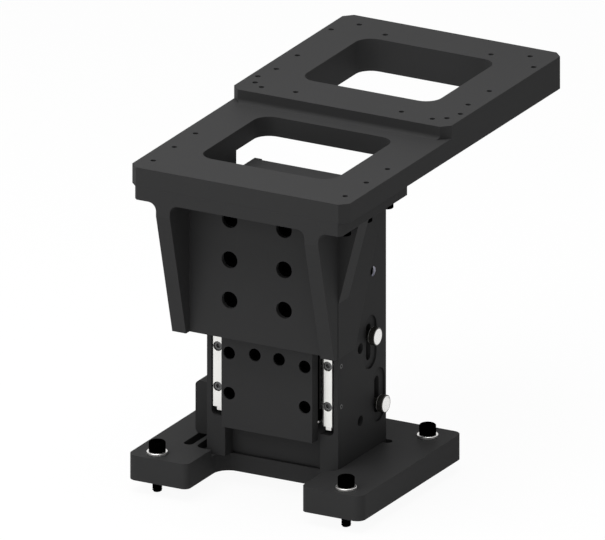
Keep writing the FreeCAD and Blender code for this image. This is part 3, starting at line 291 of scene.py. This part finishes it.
finishes = {
    "blackAnodised": {
        "dark": (0.0325, 0.0325, 0.0328), "light": (0.0364, 0.0364, 0.0368),
        "edge": (0.046, 0.046, 0.047), "metallic": 0.0, "specular": 0.0234,
        "rough": (0.50, 0.62), "stretch": (1, 1, 1), "grain": 1500, "cloud": 18,
        "bump": 0.05, "edgeRadius": 0.00035, "edgeGain": 2.0,
    },
    # black oxide of the screws; on the inner rails this near-black is painted shade for the dark
    # gap beside the carriage
    "blackOxideAndPaintedShade": {
        "dark": (0.0003, 0.0003, 0.0003), "light": (0.0006, 0.0006, 0.0006),
        "edge": (0.001, 0.001, 0.001), "metallic": 0.0, "specular": 0.0,
        "rough": (0.35, 0.5), "stretch": (1, 1, 1), "grain": 2500, "cloud": 120,
        "bump": 0.04, "edgeRadius": 0.00015, "edgeGain": 2.0,
    },
    "groundSteel": {
        "dark": (0.80, 0.795, 0.77), "light": (0.88, 0.875, 0.85),
        "edge": (0.95, 0.95, 0.94), "metallic": 0.9, "specular": 0.5,
        "rough": (0.26, 0.36), "stretch": (1, 1, 0.03), "grain": 2600, "cloud": 60,
        "bump": 0.06, "edgeRadius": 0.0002, "edgeGain": 2.0,
    },
    "railScrewSteel": {
        "dark": (0.09, 0.09, 0.09), "light": (0.14, 0.14, 0.14),
        "edge": (0.45, 0.45, 0.45), "metallic": 0.85, "specular": 0.5,
        "rough": (0.3, 0.42), "stretch": (1, 1, 1), "grain": 2600, "cloud": 200,
        "bump": 0.05, "edgeRadius": 0.00015, "edgeGain": 2.0,
    },
    "dullSteel": {
        "dark": (0.07, 0.07, 0.07), "light": (0.1, 0.1, 0.1),
        "edge": (0.2, 0.2, 0.2), "metallic": 0.7, "specular": 0.4,
        "rough": (0.35, 0.5), "stretch": (1, 1, 1), "grain": 2600, "cloud": 200,
        "bump": 0.04, "edgeRadius": 0.00012, "edgeGain": 1.5,
    },
    "brightSteel": {
        "dark": (0.70, 0.69, 0.68), "light": (0.80, 0.79, 0.77),
        "edge": (0.92, 0.91, 0.9), "metallic": 0.9, "specular": 0.5,
        "rough": (0.24, 0.36), "stretch": (1, 1, 1), "grain": 2400, "cloud": 80,
        "bump": 0.05, "edgeRadius": 0.0002, "edgeGain": 2.0,
    },
    "springSteel": {
        "dark": (0.38, 0.38, 0.39), "light": (0.5, 0.5, 0.51),
        "edge": (0.6, 0.6, 0.6), "metallic": 1.0, "specular": 0.5,
        "rough": (0.28, 0.42), "stretch": (1, 1, 1), "grain": 3000, "cloud": 150,
        "bump": 0.03, "edgeRadius": 0.0001, "edgeGain": 1.0,
    },
    # the knob's nickel side darkened: painted shade, the shaded copy of the bright nickel face
    "nickelPaintedShadeSide": {
        "dark": (0.035, 0.034, 0.030), "light": (0.055, 0.053, 0.048),
        "edge": (0.6, 0.59, 0.56), "metallic": 0.6, "specular": 0.4,
        "rough": (0.25, 0.38), "stretch": (1, 1, 1), "grain": 2600, "cloud": 150,
        "bump": 0.04, "edgeRadius": 0.00015, "edgeGain": 1.5,
    },
    "nickelFace": {
        "dark": (0.78, 0.77, 0.75), "light": (0.86, 0.855, 0.84),
        "edge": (0.97, 0.97, 0.96), "metallic": 0.9, "specular": 0.5,
        "rough": (0.2, 0.3), "stretch": (1, 1, 1), "grain": 3000, "cloud": 150,
        "bump": 0.02, "edgeRadius": 0.0002, "edgeGain": 2.0,
    },
    # near-white non-metal for the knob's rear chamfer: a painted glint
    "nickelPaintedGlint": {
        "dark": (0.70, 0.69, 0.66), "light": (0.85, 0.84, 0.81),
        "edge": (0.95, 0.95, 0.93), "metallic": 0.1, "specular": 0.5,
        "rough": (0.25, 0.35), "stretch": (1, 1, 1), "grain": 2600, "cloud": 900,
        "bump": 0.04, "edgeRadius": 0.0001, "edgeGain": 1.0,
    },
    # near-white non-metal bore: a painted highlight in place of the steel's own reflection
    "borePaintedHighlight": {
        "dark": (0.78, 0.78, 0.90), "light": (0.86, 0.86, 0.97),
        "edge": (0.92, 0.92, 0.98), "metallic": 0.0, "specular": 0.4,
        "rough": (0.3, 0.4), "stretch": (1, 1, 1), "grain": 2600, "cloud": 300,
        "bump": 0.03, "edgeRadius": 0.00005, "edgeGain": 1.0,
    },
    # near-black roller cage: painted shade for the dark gap beside the carriage
    "cagePaintedShade": {
        "dark": (0.018, 0.018, 0.018), "light": (0.026, 0.026, 0.026),
        "edge": (0.035, 0.035, 0.035), "metallic": 0.0, "specular": 0.03,
        "rough": (0.45, 0.55), "stretch": (1, 1, 1), "grain": 1200, "cloud": 60,
        "bump": 0.03, "edgeRadius": 0.0001, "edgeGain": 1.0,
    },
    # near-black rollers: painted shade for the dark gap, in place of bright ground steel
    "rollerPaintedShade": {
        "dark": (0.016, 0.016, 0.016), "light": (0.024, 0.024, 0.024),
        "edge": (0.05, 0.05, 0.05), "metallic": 0.5, "specular": 0.2,
        "rough": (0.35, 0.45), "stretch": (1, 1, 1), "grain": 2600, "cloud": 200,
        "bump": 0.03, "edgeRadius": 0.0001, "edgeGain": 1.0,
    },
    "machinedBrass": {
        "dark": (0.60, 0.41, 0.17), "light": (0.75, 0.54, 0.25),
        "edge": (0.85, 0.66, 0.36), "metallic": 1.0, "specular": 0.5,
        "rough": (0.26, 0.38), "stretch": (1, 1, 1), "grain": 2200, "cloud": 90,
        "bump": 0.05, "edgeRadius": 0.0002, "edgeGain": 2.0,
    },
    "cagePlastic": {
        "dark": (0.66, 0.64, 0.58), "light": (0.76, 0.74, 0.69),
        "edge": (0.8, 0.79, 0.75), "metallic": 0.0, "specular": 0.4,
        "rough": (0.45, 0.55), "stretch": (1, 1, 1), "grain": 1200, "cloud": 60,
        "bump": 0.03, "edgeRadius": 0.0001, "edgeGain": 1.0,
    },
    "motorBlack": {
        "dark": (0.022, 0.022, 0.024), "light": (0.035, 0.035, 0.037),
        "edge": (0.3, 0.3, 0.31), "metallic": 0.1, "specular": 0.4,
        "rough": (0.3, 0.45), "stretch": (0.05, 0.05, 1), "grain": 2000, "cloud": 80,
        "bump": 0.15, "edgeRadius": 0.0004, "edgeGain": 3.0,
    },
    "solderMask": {
        "dark": (0.015, 0.12, 0.05), "light": (0.03, 0.2, 0.085),
        "edge": (0.5, 0.42, 0.25), "metallic": 0.0, "specular": 0.5,
        "rough": (0.2, 0.35), "stretch": (1, 1, 1), "grain": 900, "cloud": 220,
        "bump": 0.05, "edgeRadius": 0.0002, "edgeGain": 2.0,
    },
}


def makeFinish(name, look):
    material = bpy.data.materials.new(name)
    material.use_nodes = True
    tree = material.node_tree
    shader = tree.nodes["Principled BSDF"]
    grain = addNode(tree, "ShaderNodeGroup", node_tree=grainGroup)
    grain.inputs["Stretch"].default_value = look["stretch"]
    grain.inputs["Scale"].default_value = look["grain"]
    grain.inputs["Cloud Scale"].default_value = look["cloud"]
    edge = addNode(tree, "ShaderNodeGroup", node_tree=edgeGroup)
    edge.inputs["Radius"].default_value = look["edgeRadius"]
    edge.inputs["Gain"].default_value = look["edgeGain"]
    # a colour mix has its two colours in sockets 6 and 7 and gives socket 2
    tone = addNode(tree, "ShaderNodeMix", data_type="RGBA")
    tone.inputs[6].default_value = (*look["dark"], 1)
    tone.inputs[7].default_value = (*look["light"], 1)
    # the edge colour lightens the rims: partly wear, partly a painted highlight
    edgeWearAndHighlight = addNode(tree, "ShaderNodeMix", data_type="RGBA")
    edgeWearAndHighlight.inputs[7].default_value = (*look["edge"], 1)
    rough = addNode(tree, "ShaderNodeMapRange")
    rough.inputs["To Min"].default_value = look["rough"][0]
    rough.inputs["To Max"].default_value = look["rough"][1]
    bump = addNode(tree, "ShaderNodeBump")
    bump.inputs["Strength"].default_value = look["bump"]
    bump.inputs["Distance"].default_value = bumpDepth
    tree.links.new(grain.outputs["Cloud"], tone.inputs[0])
    tree.links.new(tone.outputs[2], edgeWearAndHighlight.inputs[6])
    tree.links.new(edge.outputs["Mask"], edgeWearAndHighlight.inputs[0])
    tree.links.new(edgeWearAndHighlight.outputs[2], shader.inputs["Base Color"])
    tree.links.new(grain.outputs["Fine"], rough.inputs["Value"])
    tree.links.new(rough.outputs[0], shader.inputs["Roughness"])
    tree.links.new(grain.outputs["Fine"], bump.inputs["Height"])
    tree.links.new(edge.outputs["Normal"], bump.inputs["Normal"])
    tree.links.new(bump.outputs[0], shader.inputs["Normal"])
    shader.inputs["Metallic"].default_value = look["metallic"]
    shader.inputs["Specular IOR Level"].default_value = look["specular"]
    return material


materials = {name: makeFinish(name, look) for name, look in finishes.items()}

# the record's slots and the finish that each one has
slotFinish = {
    "black_anodised": "blackAnodised", "black_screw": "blackOxideAndPaintedShade",
    "ground_steel": "groundSteel", "bright_steel": "brightSteel",
    "spring_steel": "springSteel", "nickel": "nickelPaintedShadeSide", "brass": "machinedBrass",
    "cage_plastic": "cagePlastic", "motor_case": "motorBlack",
    "circuit_board": "solderMask",
}
# pieces whose colour differs from the rest of their slot: the inner rails, roller cages and
# rollers are near-black as painted shade for the dark gap beside the carriage; the spring pin is
# drawn near-black, and the rail and preload screws differ in finish
nodeFinish = {
    "left_inner_rail": "blackOxideAndPaintedShade", "right_inner_rail": "blackOxideAndPaintedShade",
    "spring_pin": "blackOxideAndPaintedShade", "outer_rail_screws": "railScrewSteel",
    "preload_screws": "dullSteel",
    "left_roller_cage": "cagePaintedShade", "right_roller_cage": "cagePaintedShade",
    "left_rollers": "rollerPaintedShade", "right_rollers": "rollerPaintedShade",
}
nodeSlot = {row["node"]: row["material_slot"] for row in frame["record"]["subparts"]}


def finishOf(nodeName):
    return materials[nodeFinish.get(nodeName, slotFinish[nodeSlot[nodeName]])]


for nodeName, item in nodes.items():
    for slot in item.material_slots:
        slot.material = finishOf(nodeName)
print("finishes on", len(nodes), "nodes")


# Geometry Nodes for the screws

def geometryTree(name, inputs):
    tree = bpy.data.node_groups.new(name, "GeometryNodeTree")
    tree.interface.new_socket("Geometry", in_out="INPUT", socket_type="NodeSocketGeometry")
    for label, kind, value in inputs:
        socket = tree.interface.new_socket(label, in_out="INPUT", socket_type=kind)
        if value is not None:
            socket.default_value = value
    tree.interface.new_socket("Geometry", in_out="OUTPUT", socket_type="NodeSocketGeometry")
    return tree, addNode(tree, "NodeGroupInput"), addNode(tree, "NodeGroupOutput")


def mathNode(tree, operation, first, second, clamp=False):
    node = addNode(tree, "ShaderNodeMath", operation=operation, use_clamp=clamp)
    for socket, value in zip(node.inputs, (first, second)):
        if isinstance(value, (int, float)):
            socket.default_value = value
        elif value is not None:
            tree.links.new(value, socket)
    return node.outputs[0]


screwMesh = {"shankSides": 20, "rowsPerTurn": 5.0, "tipShare": 0.8, "headRows": 3,
             "socketSides": 6}


def makeScrewTree():
    # one socket head screw, tip down, with the underside of its head at the origin
    tree, start, end = geometryTree("socketScrews", [
        ("Head Radius", "NodeSocketFloat", 0.005), ("Head Height", "NodeSocketFloat", 0.006),
        ("Shank Radius", "NodeSocketFloat", 0.003), ("Shank Length", "NodeSocketFloat", 0.02),
        ("Socket Radius", "NodeSocketFloat", 0.0029), ("Socket Depth", "NodeSocketFloat", 0.003),
        ("Pitch", "NodeSocketFloat", 0.001), ("Thread Depth", "NodeSocketFloat", 0.0006),
        ("Knurls", "NodeSocketInt", 30), ("Knurl Depth", "NodeSocketFloat", 0.00015),
        ("Chamfer", "NodeSocketFloat", 0.0005), ("Rotation", "NodeSocketVector", (0, 0, 0)),
        ("Material", "NodeSocketMaterial", None)])
    given = start.outputs
    # shank
    turns = mathNode(tree, "DIVIDE", given["Shank Length"], given["Pitch"])
    rows = mathNode(tree, "MULTIPLY", turns, screwMesh["rowsPerTurn"])
    shank = addNode(tree, "GeometryNodeMeshCylinder")
    shank.inputs["Vertices"].default_value = screwMesh["shankSides"]
    tree.links.new(rows, shank.inputs["Side Segments"])
    tree.links.new(given["Shank Radius"], shank.inputs["Radius"])
    tree.links.new(given["Shank Length"], shank.inputs["Depth"])
    position = addNode(tree, "GeometryNodeInputPosition")
    parts = addNode(tree, "ShaderNodeSeparateXYZ")
    tree.links.new(position.outputs[0], parts.inputs[0])
    angle = mathNode(tree, "ARCTAN2", parts.outputs[1], parts.outputs[0])
    angleTurns = mathNode(tree, "DIVIDE", angle, 2 * math.pi)
    heightTurns = mathNode(tree, "DIVIDE", parts.outputs[2], given["Pitch"])
    phase = mathNode(tree, "SUBTRACT", heightTurns, angleTurns)
    wave = mathNode(tree, "PINGPONG", phase, 0.5)
    groove = mathNode(tree, "MULTIPLY", mathNode(tree, "MULTIPLY", wave, 2.0),
                      given["Thread Depth"])
    halfLength = mathNode(tree, "MULTIPLY", given["Shank Length"], 0.5)
    fromTip = mathNode(tree, "ADD", parts.outputs[2], halfLength)
    tipStart = mathNode(tree, "MULTIPLY", given["Pitch"], screwMesh["tipShare"])
    tipShort = mathNode(tree, "SUBTRACT", tipStart, fromTip)
    tipCut = mathNode(tree, "MAXIMUM", tipShort, 0.0)
    inward = mathNode(tree, "ADD", groove, tipCut)
    flat = addNode(tree, "ShaderNodeCombineXYZ")
    tree.links.new(parts.outputs[0], flat.inputs[0])
    tree.links.new(parts.outputs[1], flat.inputs[1])
    outwards = addNode(tree, "ShaderNodeVectorMath", operation="NORMALIZE")
    tree.links.new(flat.outputs[0], outwards.inputs[0])
    shrink = addNode(tree, "ShaderNodeVectorMath", operation="SCALE")
    tree.links.new(outwards.outputs[0], shrink.inputs[0])
    tree.links.new(mathNode(tree, "MULTIPLY", inward, -1.0), shrink.inputs["Scale"])
    threaded = addNode(tree, "GeometryNodeSetPosition")
    tree.links.new(shank.outputs["Mesh"], threaded.inputs["Geometry"])
    tree.links.new(shrink.outputs[0], threaded.inputs["Offset"])
    lower = addNode(tree, "ShaderNodeCombineXYZ")
    tree.links.new(mathNode(tree, "MULTIPLY", given["Shank Length"], -0.5), lower.inputs[2])
    shankDown = addNode(tree, "GeometryNodeTransform")
    tree.links.new(threaded.outputs[0], shankDown.inputs["Geometry"])
    tree.links.new(lower.outputs[0], shankDown.inputs["Translation"])
    # head: knurled side, chamfered rim
    head = addNode(tree, "GeometryNodeMeshCylinder")
    tree.links.new(mathNode(tree, "MULTIPLY", given["Knurls"], 2.0), head.inputs["Vertices"])
    head.inputs["Side Segments"].default_value = screwMesh["headRows"]
    tree.links.new(given["Head Radius"], head.inputs["Radius"])
    tree.links.new(given["Head Height"], head.inputs["Depth"])
    # three rows of faces put the inner rings a sixth of the height from the middle
    sixth = mathNode(tree, "DIVIDE", given["Head Height"], 2.0 * screwMesh["headRows"])
    half = mathNode(tree, "MULTIPLY", given["Head Height"], 0.5)
    upper = addNode(tree, "FunctionNodeCompare", data_type="FLOAT", operation="GREATER_THAN")
    tree.links.new(parts.outputs[2], upper.inputs[0])
    tree.links.new(mathNode(tree, "MULTIPLY", sixth, 2.0), upper.inputs[1])
    shoulder = addNode(tree, "FunctionNodeCompare", data_type="FLOAT", operation="GREATER_THAN")
    tree.links.new(parts.outputs[2], shoulder.inputs[0])
    tree.links.new(mathNode(tree, "MULTIPLY", sixth, 0.5), shoulder.inputs[1])
    number = addNode(tree, "GeometryNodeInputIndex")
    odd = mathNode(tree, "MODULO", number.outputs[0], 2.0)
    knurlIn = mathNode(tree, "MULTIPLY", odd, given["Knurl Depth"])
    rimIn = mathNode(tree, "MULTIPLY", upper.outputs[0], given["Chamfer"])
    headIn = mathNode(tree, "ADD", knurlIn, rimIn)
    side = addNode(tree, "ShaderNodeVectorMath", operation="SCALE")
    tree.links.new(outwards.outputs[0], side.inputs[0])
    tree.links.new(mathNode(tree, "MULTIPLY", headIn, -1.0), side.inputs["Scale"])
    onlyShoulder = mathNode(tree, "SUBTRACT", shoulder.outputs[0], upper.outputs[0])
    riseGoal = mathNode(tree, "SUBTRACT", half, given["Chamfer"])
    rise = mathNode(tree, "SUBTRACT", riseGoal, sixth)
    lift = addNode(tree, "ShaderNodeCombineXYZ")
    tree.links.new(mathNode(tree, "MULTIPLY", onlyShoulder, rise), lift.inputs[2])
    move = addNode(tree, "ShaderNodeVectorMath", operation="ADD")
    tree.links.new(side.outputs[0], move.inputs[0])
    tree.links.new(lift.outputs[0], move.inputs[1])
    shaped = addNode(tree, "GeometryNodeSetPosition")
    tree.links.new(head.outputs["Mesh"], shaped.inputs["Geometry"])
    tree.links.new(move.outputs[0], shaped.inputs["Offset"])
    # hexagon socket
    socket = addNode(tree, "GeometryNodeMeshCylinder")
    socket.inputs["Vertices"].default_value = screwMesh["socketSides"]
    tree.links.new(given["Socket Radius"], socket.inputs["Radius"])
    tree.links.new(mathNode(tree, "MULTIPLY", given["Socket Depth"], 2.0), socket.inputs["Depth"])
    socketUp = addNode(tree, "ShaderNodeCombineXYZ")
    tree.links.new(half, socketUp.inputs[2])
    socketPlaced = addNode(tree, "GeometryNodeTransform")
    tree.links.new(socket.outputs["Mesh"], socketPlaced.inputs["Geometry"])
    tree.links.new(socketUp.outputs[0], socketPlaced.inputs["Translation"])
    hollow = addNode(tree, "GeometryNodeMeshBoolean", operation="DIFFERENCE", solver="EXACT")
    tree.links.new(shaped.outputs[0], hollow.inputs[0])
    tree.links.new(socketPlaced.outputs[0], hollow.inputs[1])
    headUp = addNode(tree, "GeometryNodeTransform")
    tree.links.new(hollow.outputs[0], headUp.inputs["Geometry"])
    tree.links.new(socketUp.outputs[0], headUp.inputs["Translation"])
    screw = addNode(tree, "GeometryNodeJoinGeometry")
    tree.links.new(shankDown.outputs[0], screw.inputs[0])
    tree.links.new(headUp.outputs[0], screw.inputs[0])
    copies = addNode(tree, "GeometryNodeInstanceOnPoints")
    tree.links.new(given["Geometry"], copies.inputs["Points"])
    tree.links.new(screw.outputs[0], copies.inputs["Instance"])
    tree.links.new(given["Rotation"], copies.inputs["Rotation"])
    finishTree(tree, copies.outputs[0], given["Material"], end)
    return tree


def finishTree(tree, instances, material, end):
    real = addNode(tree, "GeometryNodeRealizeInstances")
    painted = addNode(tree, "GeometryNodeSetMaterial")
    tree.links.new(instances, real.inputs[0])
    tree.links.new(real.outputs[0], painted.inputs["Geometry"])
    tree.links.new(material, painted.inputs["Material"])
    tree.links.new(painted.outputs[0], end.inputs[0])


screwTree = makeScrewTree()


def islandBoxes(nodeName):
    # lowest and highest corner of each separate solid of a node
    mesh = bmesh.new()
    mesh.from_mesh(nodes[nodeName].data)
    bmesh.ops.remove_doubles(mesh, verts=mesh.verts, dist=weld)
    waiting = set(mesh.verts)
    boxes = []
    while waiting:
        stack = [waiting.pop()]
        found = list(stack)
        while stack:
            for edge in stack.pop().link_edges:
                for vertex in edge.verts:
                    if vertex in waiting:
                        waiting.remove(vertex)
                        stack.append(vertex)
                        found.append(vertex)
        low = Vector([min(vertex.co[n] for vertex in found) for n in range(3)])
        high = Vector([max(vertex.co[n] for vertex in found) for n in range(3)])
        boxes.append((low, high))
    mesh.free()
    return sorted(boxes, key=lambda pair: (round(pair[0].z, 4), round(pair[0].x, 4)))


def runTree(name, tree, points, values, body, replaced):
    mesh = bpy.data.meshes.new(name + "Points")
    mesh.from_pydata(points, [], [])
    holder = bpy.data.objects.new(name + "Points", mesh)
    bpy.context.scene.collection.objects.link(holder)
    modifier = holder.modifiers.new("geometry", "NODES")
    modifier.node_group = tree
    for item in tree.interface.items_tree:
        if item.in_out == "INPUT" and item.name in values:
            modifier[item.identifier] = values[item.name]
    depsgraph = bpy.context.evaluated_depsgraph_get()
    made = bpy.data.meshes.new_from_object(holder.evaluated_get(depsgraph))
    bpy.data.objects.remove(holder)
    piece = bpy.data.objects.new(name, made)
    bpy.context.scene.collection.objects.link(piece)
    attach(piece, body)
    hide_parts(*replaced)
    return piece


# way the tips point, and the turn of a screw whose tip starts down
tipTurns = {
    "-Z": (0, 0, 0), "+Z": (math.pi, 0, 0), "+Y": (math.pi / 2, 0, 0),
    "-Y": (-math.pi / 2, 0, 0), "+X": (0, -math.pi / 2, 0), "-X": (0, math.pi / 2, 0),
}

# headShare is of the length, shank of the head's diameter, pitch in millimetres; a count of no
# knurls makes a smooth head
screwKinds = {
    "base_bolts": {"tip": "-Z", "headShare": 6 / 31, "shank": 0.6, "pitch": 1.0, "knurls": 36},
    "bracket_screws": {"tip": "+Y", "headShare": 6 / 17.4, "shank": 0.5, "pitch": 1.0,
                       "knurls": 36},
    "inner_rail_screws": {"tip": "+Y", "headShare": 4 / 12.8, "shank": 3.3 / 7, "pitch": 0.7,
                          "knurls": 28},
    "nut_bracket_screws": {"tip": "+Y", "headShare": 4 / 24.2, "shank": 3.3 / 7, "pitch": 0.7,
                           "knurls": 28},
    "stage_plate_screws": {"tip": "+Z", "headShare": 4 / 19.8, "shank": 3.3 / 7, "pitch": 0.7,
                           "knurls": 28},
    "outer_rail_screws": {"tip": "+Y", "headShare": 3 / 12.2, "shank": 2.5 / 5.5, "pitch": 0.5,
                          "knurls": 20},
    "back_cover_screws": {"tip": "-Y", "headShare": 1.5 / 9.5, "shank": 2.5 / 5.5,
                          "pitch": 0.5, "knurls": 0},
    "cable_housing_screws": {"tip": "+X", "headShare": 3 / 21, "shank": 2.5 / 5.5,
                             "pitch": 0.5, "knurls": 20},
    "column_screws": {"tip": "+Z", "headShare": 6 / 20.4, "shank": 0.5, "pitch": 1.0,
                      "knurls": 30},
    "preload_screws": {"tip": "-X", "headShare": 0.3, "shank": 0.9, "pitch": 0.5,
                       "knurls": 0},
    "motor_screws": {"tip": "+Z", "headShare": 2.5 / 10.4, "shank": 2.5 / 4.5, "pitch": 0.45,
                     "knurls": 20},
    "motor_mount_screws": {"tip": "+Y", "headShare": 3 / 15.5, "shank": 2.5 / 5.5,
                           "pitch": 0.5, "knurls": 20},
    "bearing_block_screws": {"tip": "+Y", "headShare": 4 / 17.9, "shank": 3.3 / 7,
                             "pitch": 0.7, "knurls": 28},
}
# shares: socket radius of the head's diameter, socket depth and chamfer of its height, thread of
# the pitch, knurl of the head's radius; inset is in metres
screwShape = {"socket": 0.29, "socketDepth": 0.5, "threadDepth": 0.55, "chamfer": 0.09,
              "knurlDepth": 0.018, "inset": 0.00002, "smoothSides": 16}


def makeScrews(nodeName, kind):
    boxes = islandBoxes(nodeName)
    low, high = boxes[0]
    axis = "XYZ".index(kind["tip"][1])
    forward = kind["tip"][0] == "+"
    across = (axis + 1) % 3
    headRadius = (high[across] - low[across]) / 2 - screwShape["inset"]
    length = high[axis] - low[axis]
    headHeight = length * kind["headShare"]
    points = []
    for low, high in boxes:
        point = (low + high) / 2
        point[axis] = low[axis] + headHeight if forward else high[axis] - headHeight
        points.append(point)
    pitch = kind["pitch"] * mm
    knurls = kind["knurls"] or screwShape["smoothSides"]
    knurlDepth = headRadius * screwShape["knurlDepth"] if kind["knurls"] else 0.0
    values = {
        "Head Radius": headRadius, "Head Height": headHeight,
        "Shank Radius": (headRadius + screwShape["inset"]) * kind["shank"],
        "Shank Length": length - headHeight,
        "Socket Radius": headRadius * 2 * screwShape["socket"],
        "Socket Depth": headHeight * screwShape["socketDepth"], "Pitch": pitch,
        "Thread Depth": pitch * screwShape["threadDepth"], "Knurls": knurls,
        "Knurl Depth": knurlDepth, "Chamfer": headHeight * screwShape["chamfer"],
        "Rotation": tipTurns[kind["tip"]], "Material": finishOf(nodeName),
    }
    return runTree(nodeName + "_detail", screwTree, points, values,
                   nodes[nodeName]["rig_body"], [nodeName])


for nodeName, kind in screwKinds.items():
    piece = makeScrews(nodeName, kind)
    print("screws", nodeName, len(piece.data.polygons), "faces")


# Turned pieces

def latheObject(name, profile, sides, place, axis, knurl, parts):
    # profile rows are radius, height, knurled or not; parts give the material of each row
    mesh = bmesh.new()
    rings = []
    for radius, height, knurled in profile:
        if radius < tiny:
            rings.append([mesh.verts.new((0, 0, height))])
            continue
        ring = []
        for step in range(sides):
            inset = knurl if knurled and step % 2 else 0.0
            angle = 2 * math.pi * step / sides
            ring.append(mesh.verts.new(((radius - inset) * math.cos(angle),
                                        (radius - inset) * math.sin(angle), height)))
        rings.append(ring)
    for row, (lower, upper) in enumerate(zip(rings, rings[1:])):
        for step in range(sides):
            after = (step + 1) % sides
            if len(lower) == 1:
                corners = [lower[0], upper[after], upper[step]]
            elif len(upper) == 1:
                corners = [lower[step], lower[after], upper[0]]
            else:
                corners = [lower[step], lower[after], upper[after], upper[step]]
            face = mesh.faces.new(corners)
            face.material_index = parts[row]
    bmesh.ops.recalc_face_normals(mesh, faces=mesh.faces)
    turn = Vector((0, 0, 1)).rotation_difference(Vector(axis)).to_matrix().to_4x4()
    mesh.transform(Matrix.Translation(place) @ turn)
    data = bpy.data.meshes.new(name)
    mesh.to_mesh(data)
    mesh.free()
    piece = bpy.data.objects.new(name, data)
    bpy.context.scene.collection.objects.link(piece)
    return piece


def closeSeams(piece):
    # joins the first and last ring of a profile that comes round to its start
    mesh = bmesh.new()
    mesh.from_mesh(piece.data)
    bmesh.ops.remove_doubles(mesh, verts=mesh.verts, dist=tiny)
    bmesh.ops.recalc_face_normals(mesh, faces=mesh.faces)
    mesh.to_mesh(piece.data)
    mesh.free()


# millimetres
knobLook = {"thick": 4.1, "stem": 4.9, "rearChamfer": 0.5, "rim": 0.3, "bevel": 0.38,
            "shine": 0.55, "dish": 0.1, "stemBevel": 0.3, "sides": 96, "knurl": 0.14}


def makeKnob(nodeName, body):
    low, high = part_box(nodeName)
    middle = (low + high) / 2
    radius = (high.y - low.y) / 2
    length = high.x - low.x
    look = knobLook
    stem = look["stem"] / 2 * mm
    stemBevel = look["stemBevel"] * mm
    back = length - look["thick"] * mm
    rear = look["rearChamfer"] * mm
    rim = look["rim"] * mm
    bevel = look["bevel"] * mm
    shine = look["shine"] * mm
    dish = look["dish"] * mm
    profile = [
        (0, 0, False), (stem - stemBevel, 0, False), (stem, stemBevel, False),
        (stem, back, False), (radius - rear, back, False), (radius, back + rear, False),
        (radius, back + rear, True), (radius, length - rim, True),
        (radius, length - rim, False), (radius - rim, length, False),
        (radius - rim - bevel, length, False), (radius - rim - bevel - shine, length, False),
        (radius - rim - bevel - shine - dish, length - dish, False),
        (0, length - dish, False)]
    # materials: 0 the side darkened as painted shade, 1 the bright nickel face, 2 the rear
    # chamfer as a painted glint
    parts = [0, 0, 0, 0, 2, 0, 0, 0, 0, 0, 1, 1, 1]
    piece = latheObject(nodeName + "_detail", profile, look["sides"],
                        Vector((low.x, middle.y, middle.z)), (1, 0, 0),
                        look["knurl"] * mm, parts)
    piece.data.materials.append(materials["nickelPaintedShadeSide"])
    piece.data.materials.append(materials["nickelFace"])
    piece.data.materials.append(materials["nickelPaintedGlint"])
    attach(piece, body)
    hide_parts(nodeName)


ringLook = {"inset": 0.01, "wall": 0.4, "sides": 48}


def makeRings(nodeName):
    # dark end faces; the bore is near-white non-metal, a painted highlight for its lit steel wall
    look = ringLook
    for number, (low, high) in enumerate(islandBoxes(nodeName)):
        radius = (high.y - low.y) / 2 - look["inset"] * mm
        bore = radius - look["wall"] * mm
        length = high.x - low.x
        profile = [(bore, 0, False), (radius, 0, False), (radius, length, False),
                   (bore, length, False), (bore, 0, False)]
        centre = (low + high) / 2
        piece = latheObject(f"{nodeName}_{number}", profile, look["sides"],
                            Vector((low.x, centre.y, centre.z)), (1, 0, 0), 0.0, [0, 0, 0, 1])
        closeSeams(piece)
        piece.data.materials.append(materials["blackAnodised"])
        piece.data.materials.append(materials["borePaintedHighlight"])
        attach(piece, nodes[nodeName]["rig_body"])
        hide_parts(nodeName)


makeRings("pin_clips")
makeKnob("upper_stop_knob", "upper_knob")
makeKnob("lower_stop_knob", "lower_knob")
print("stop knobs made")


washerLook = {"hole": 6.4, "edge": 0.2, "sides": 72}


def makeWashers(nodeName):
    look = washerLook
    edge = look["edge"] * mm
    hole = look["hole"] / 2 * mm
    for number, (low, high) in enumerate(islandBoxes(nodeName)):
        radius = (high.x - low.x) / 2
        thick = high.z - low.z
        profile = [(hole, 0, False), (radius - edge, 0, False), (radius, edge, False),
                   (radius, thick - edge, False), (radius - edge, thick, False),
                   (hole, thick, False), (hole, 0, False)]
        centre = (low + high) / 2
        piece = latheObject(f"{nodeName}_{number}", profile, look["sides"],
                            Vector((centre.x, centre.y, low.z)), (0, 0, 1), 0.0, [0] * 6)
        closeSeams(piece)
        piece.data.materials.append(materials["brightSteel"])
        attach(piece, nodes[nodeName]["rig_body"])
        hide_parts(nodeName)


makeWashers("base_washers")
print("washers made")
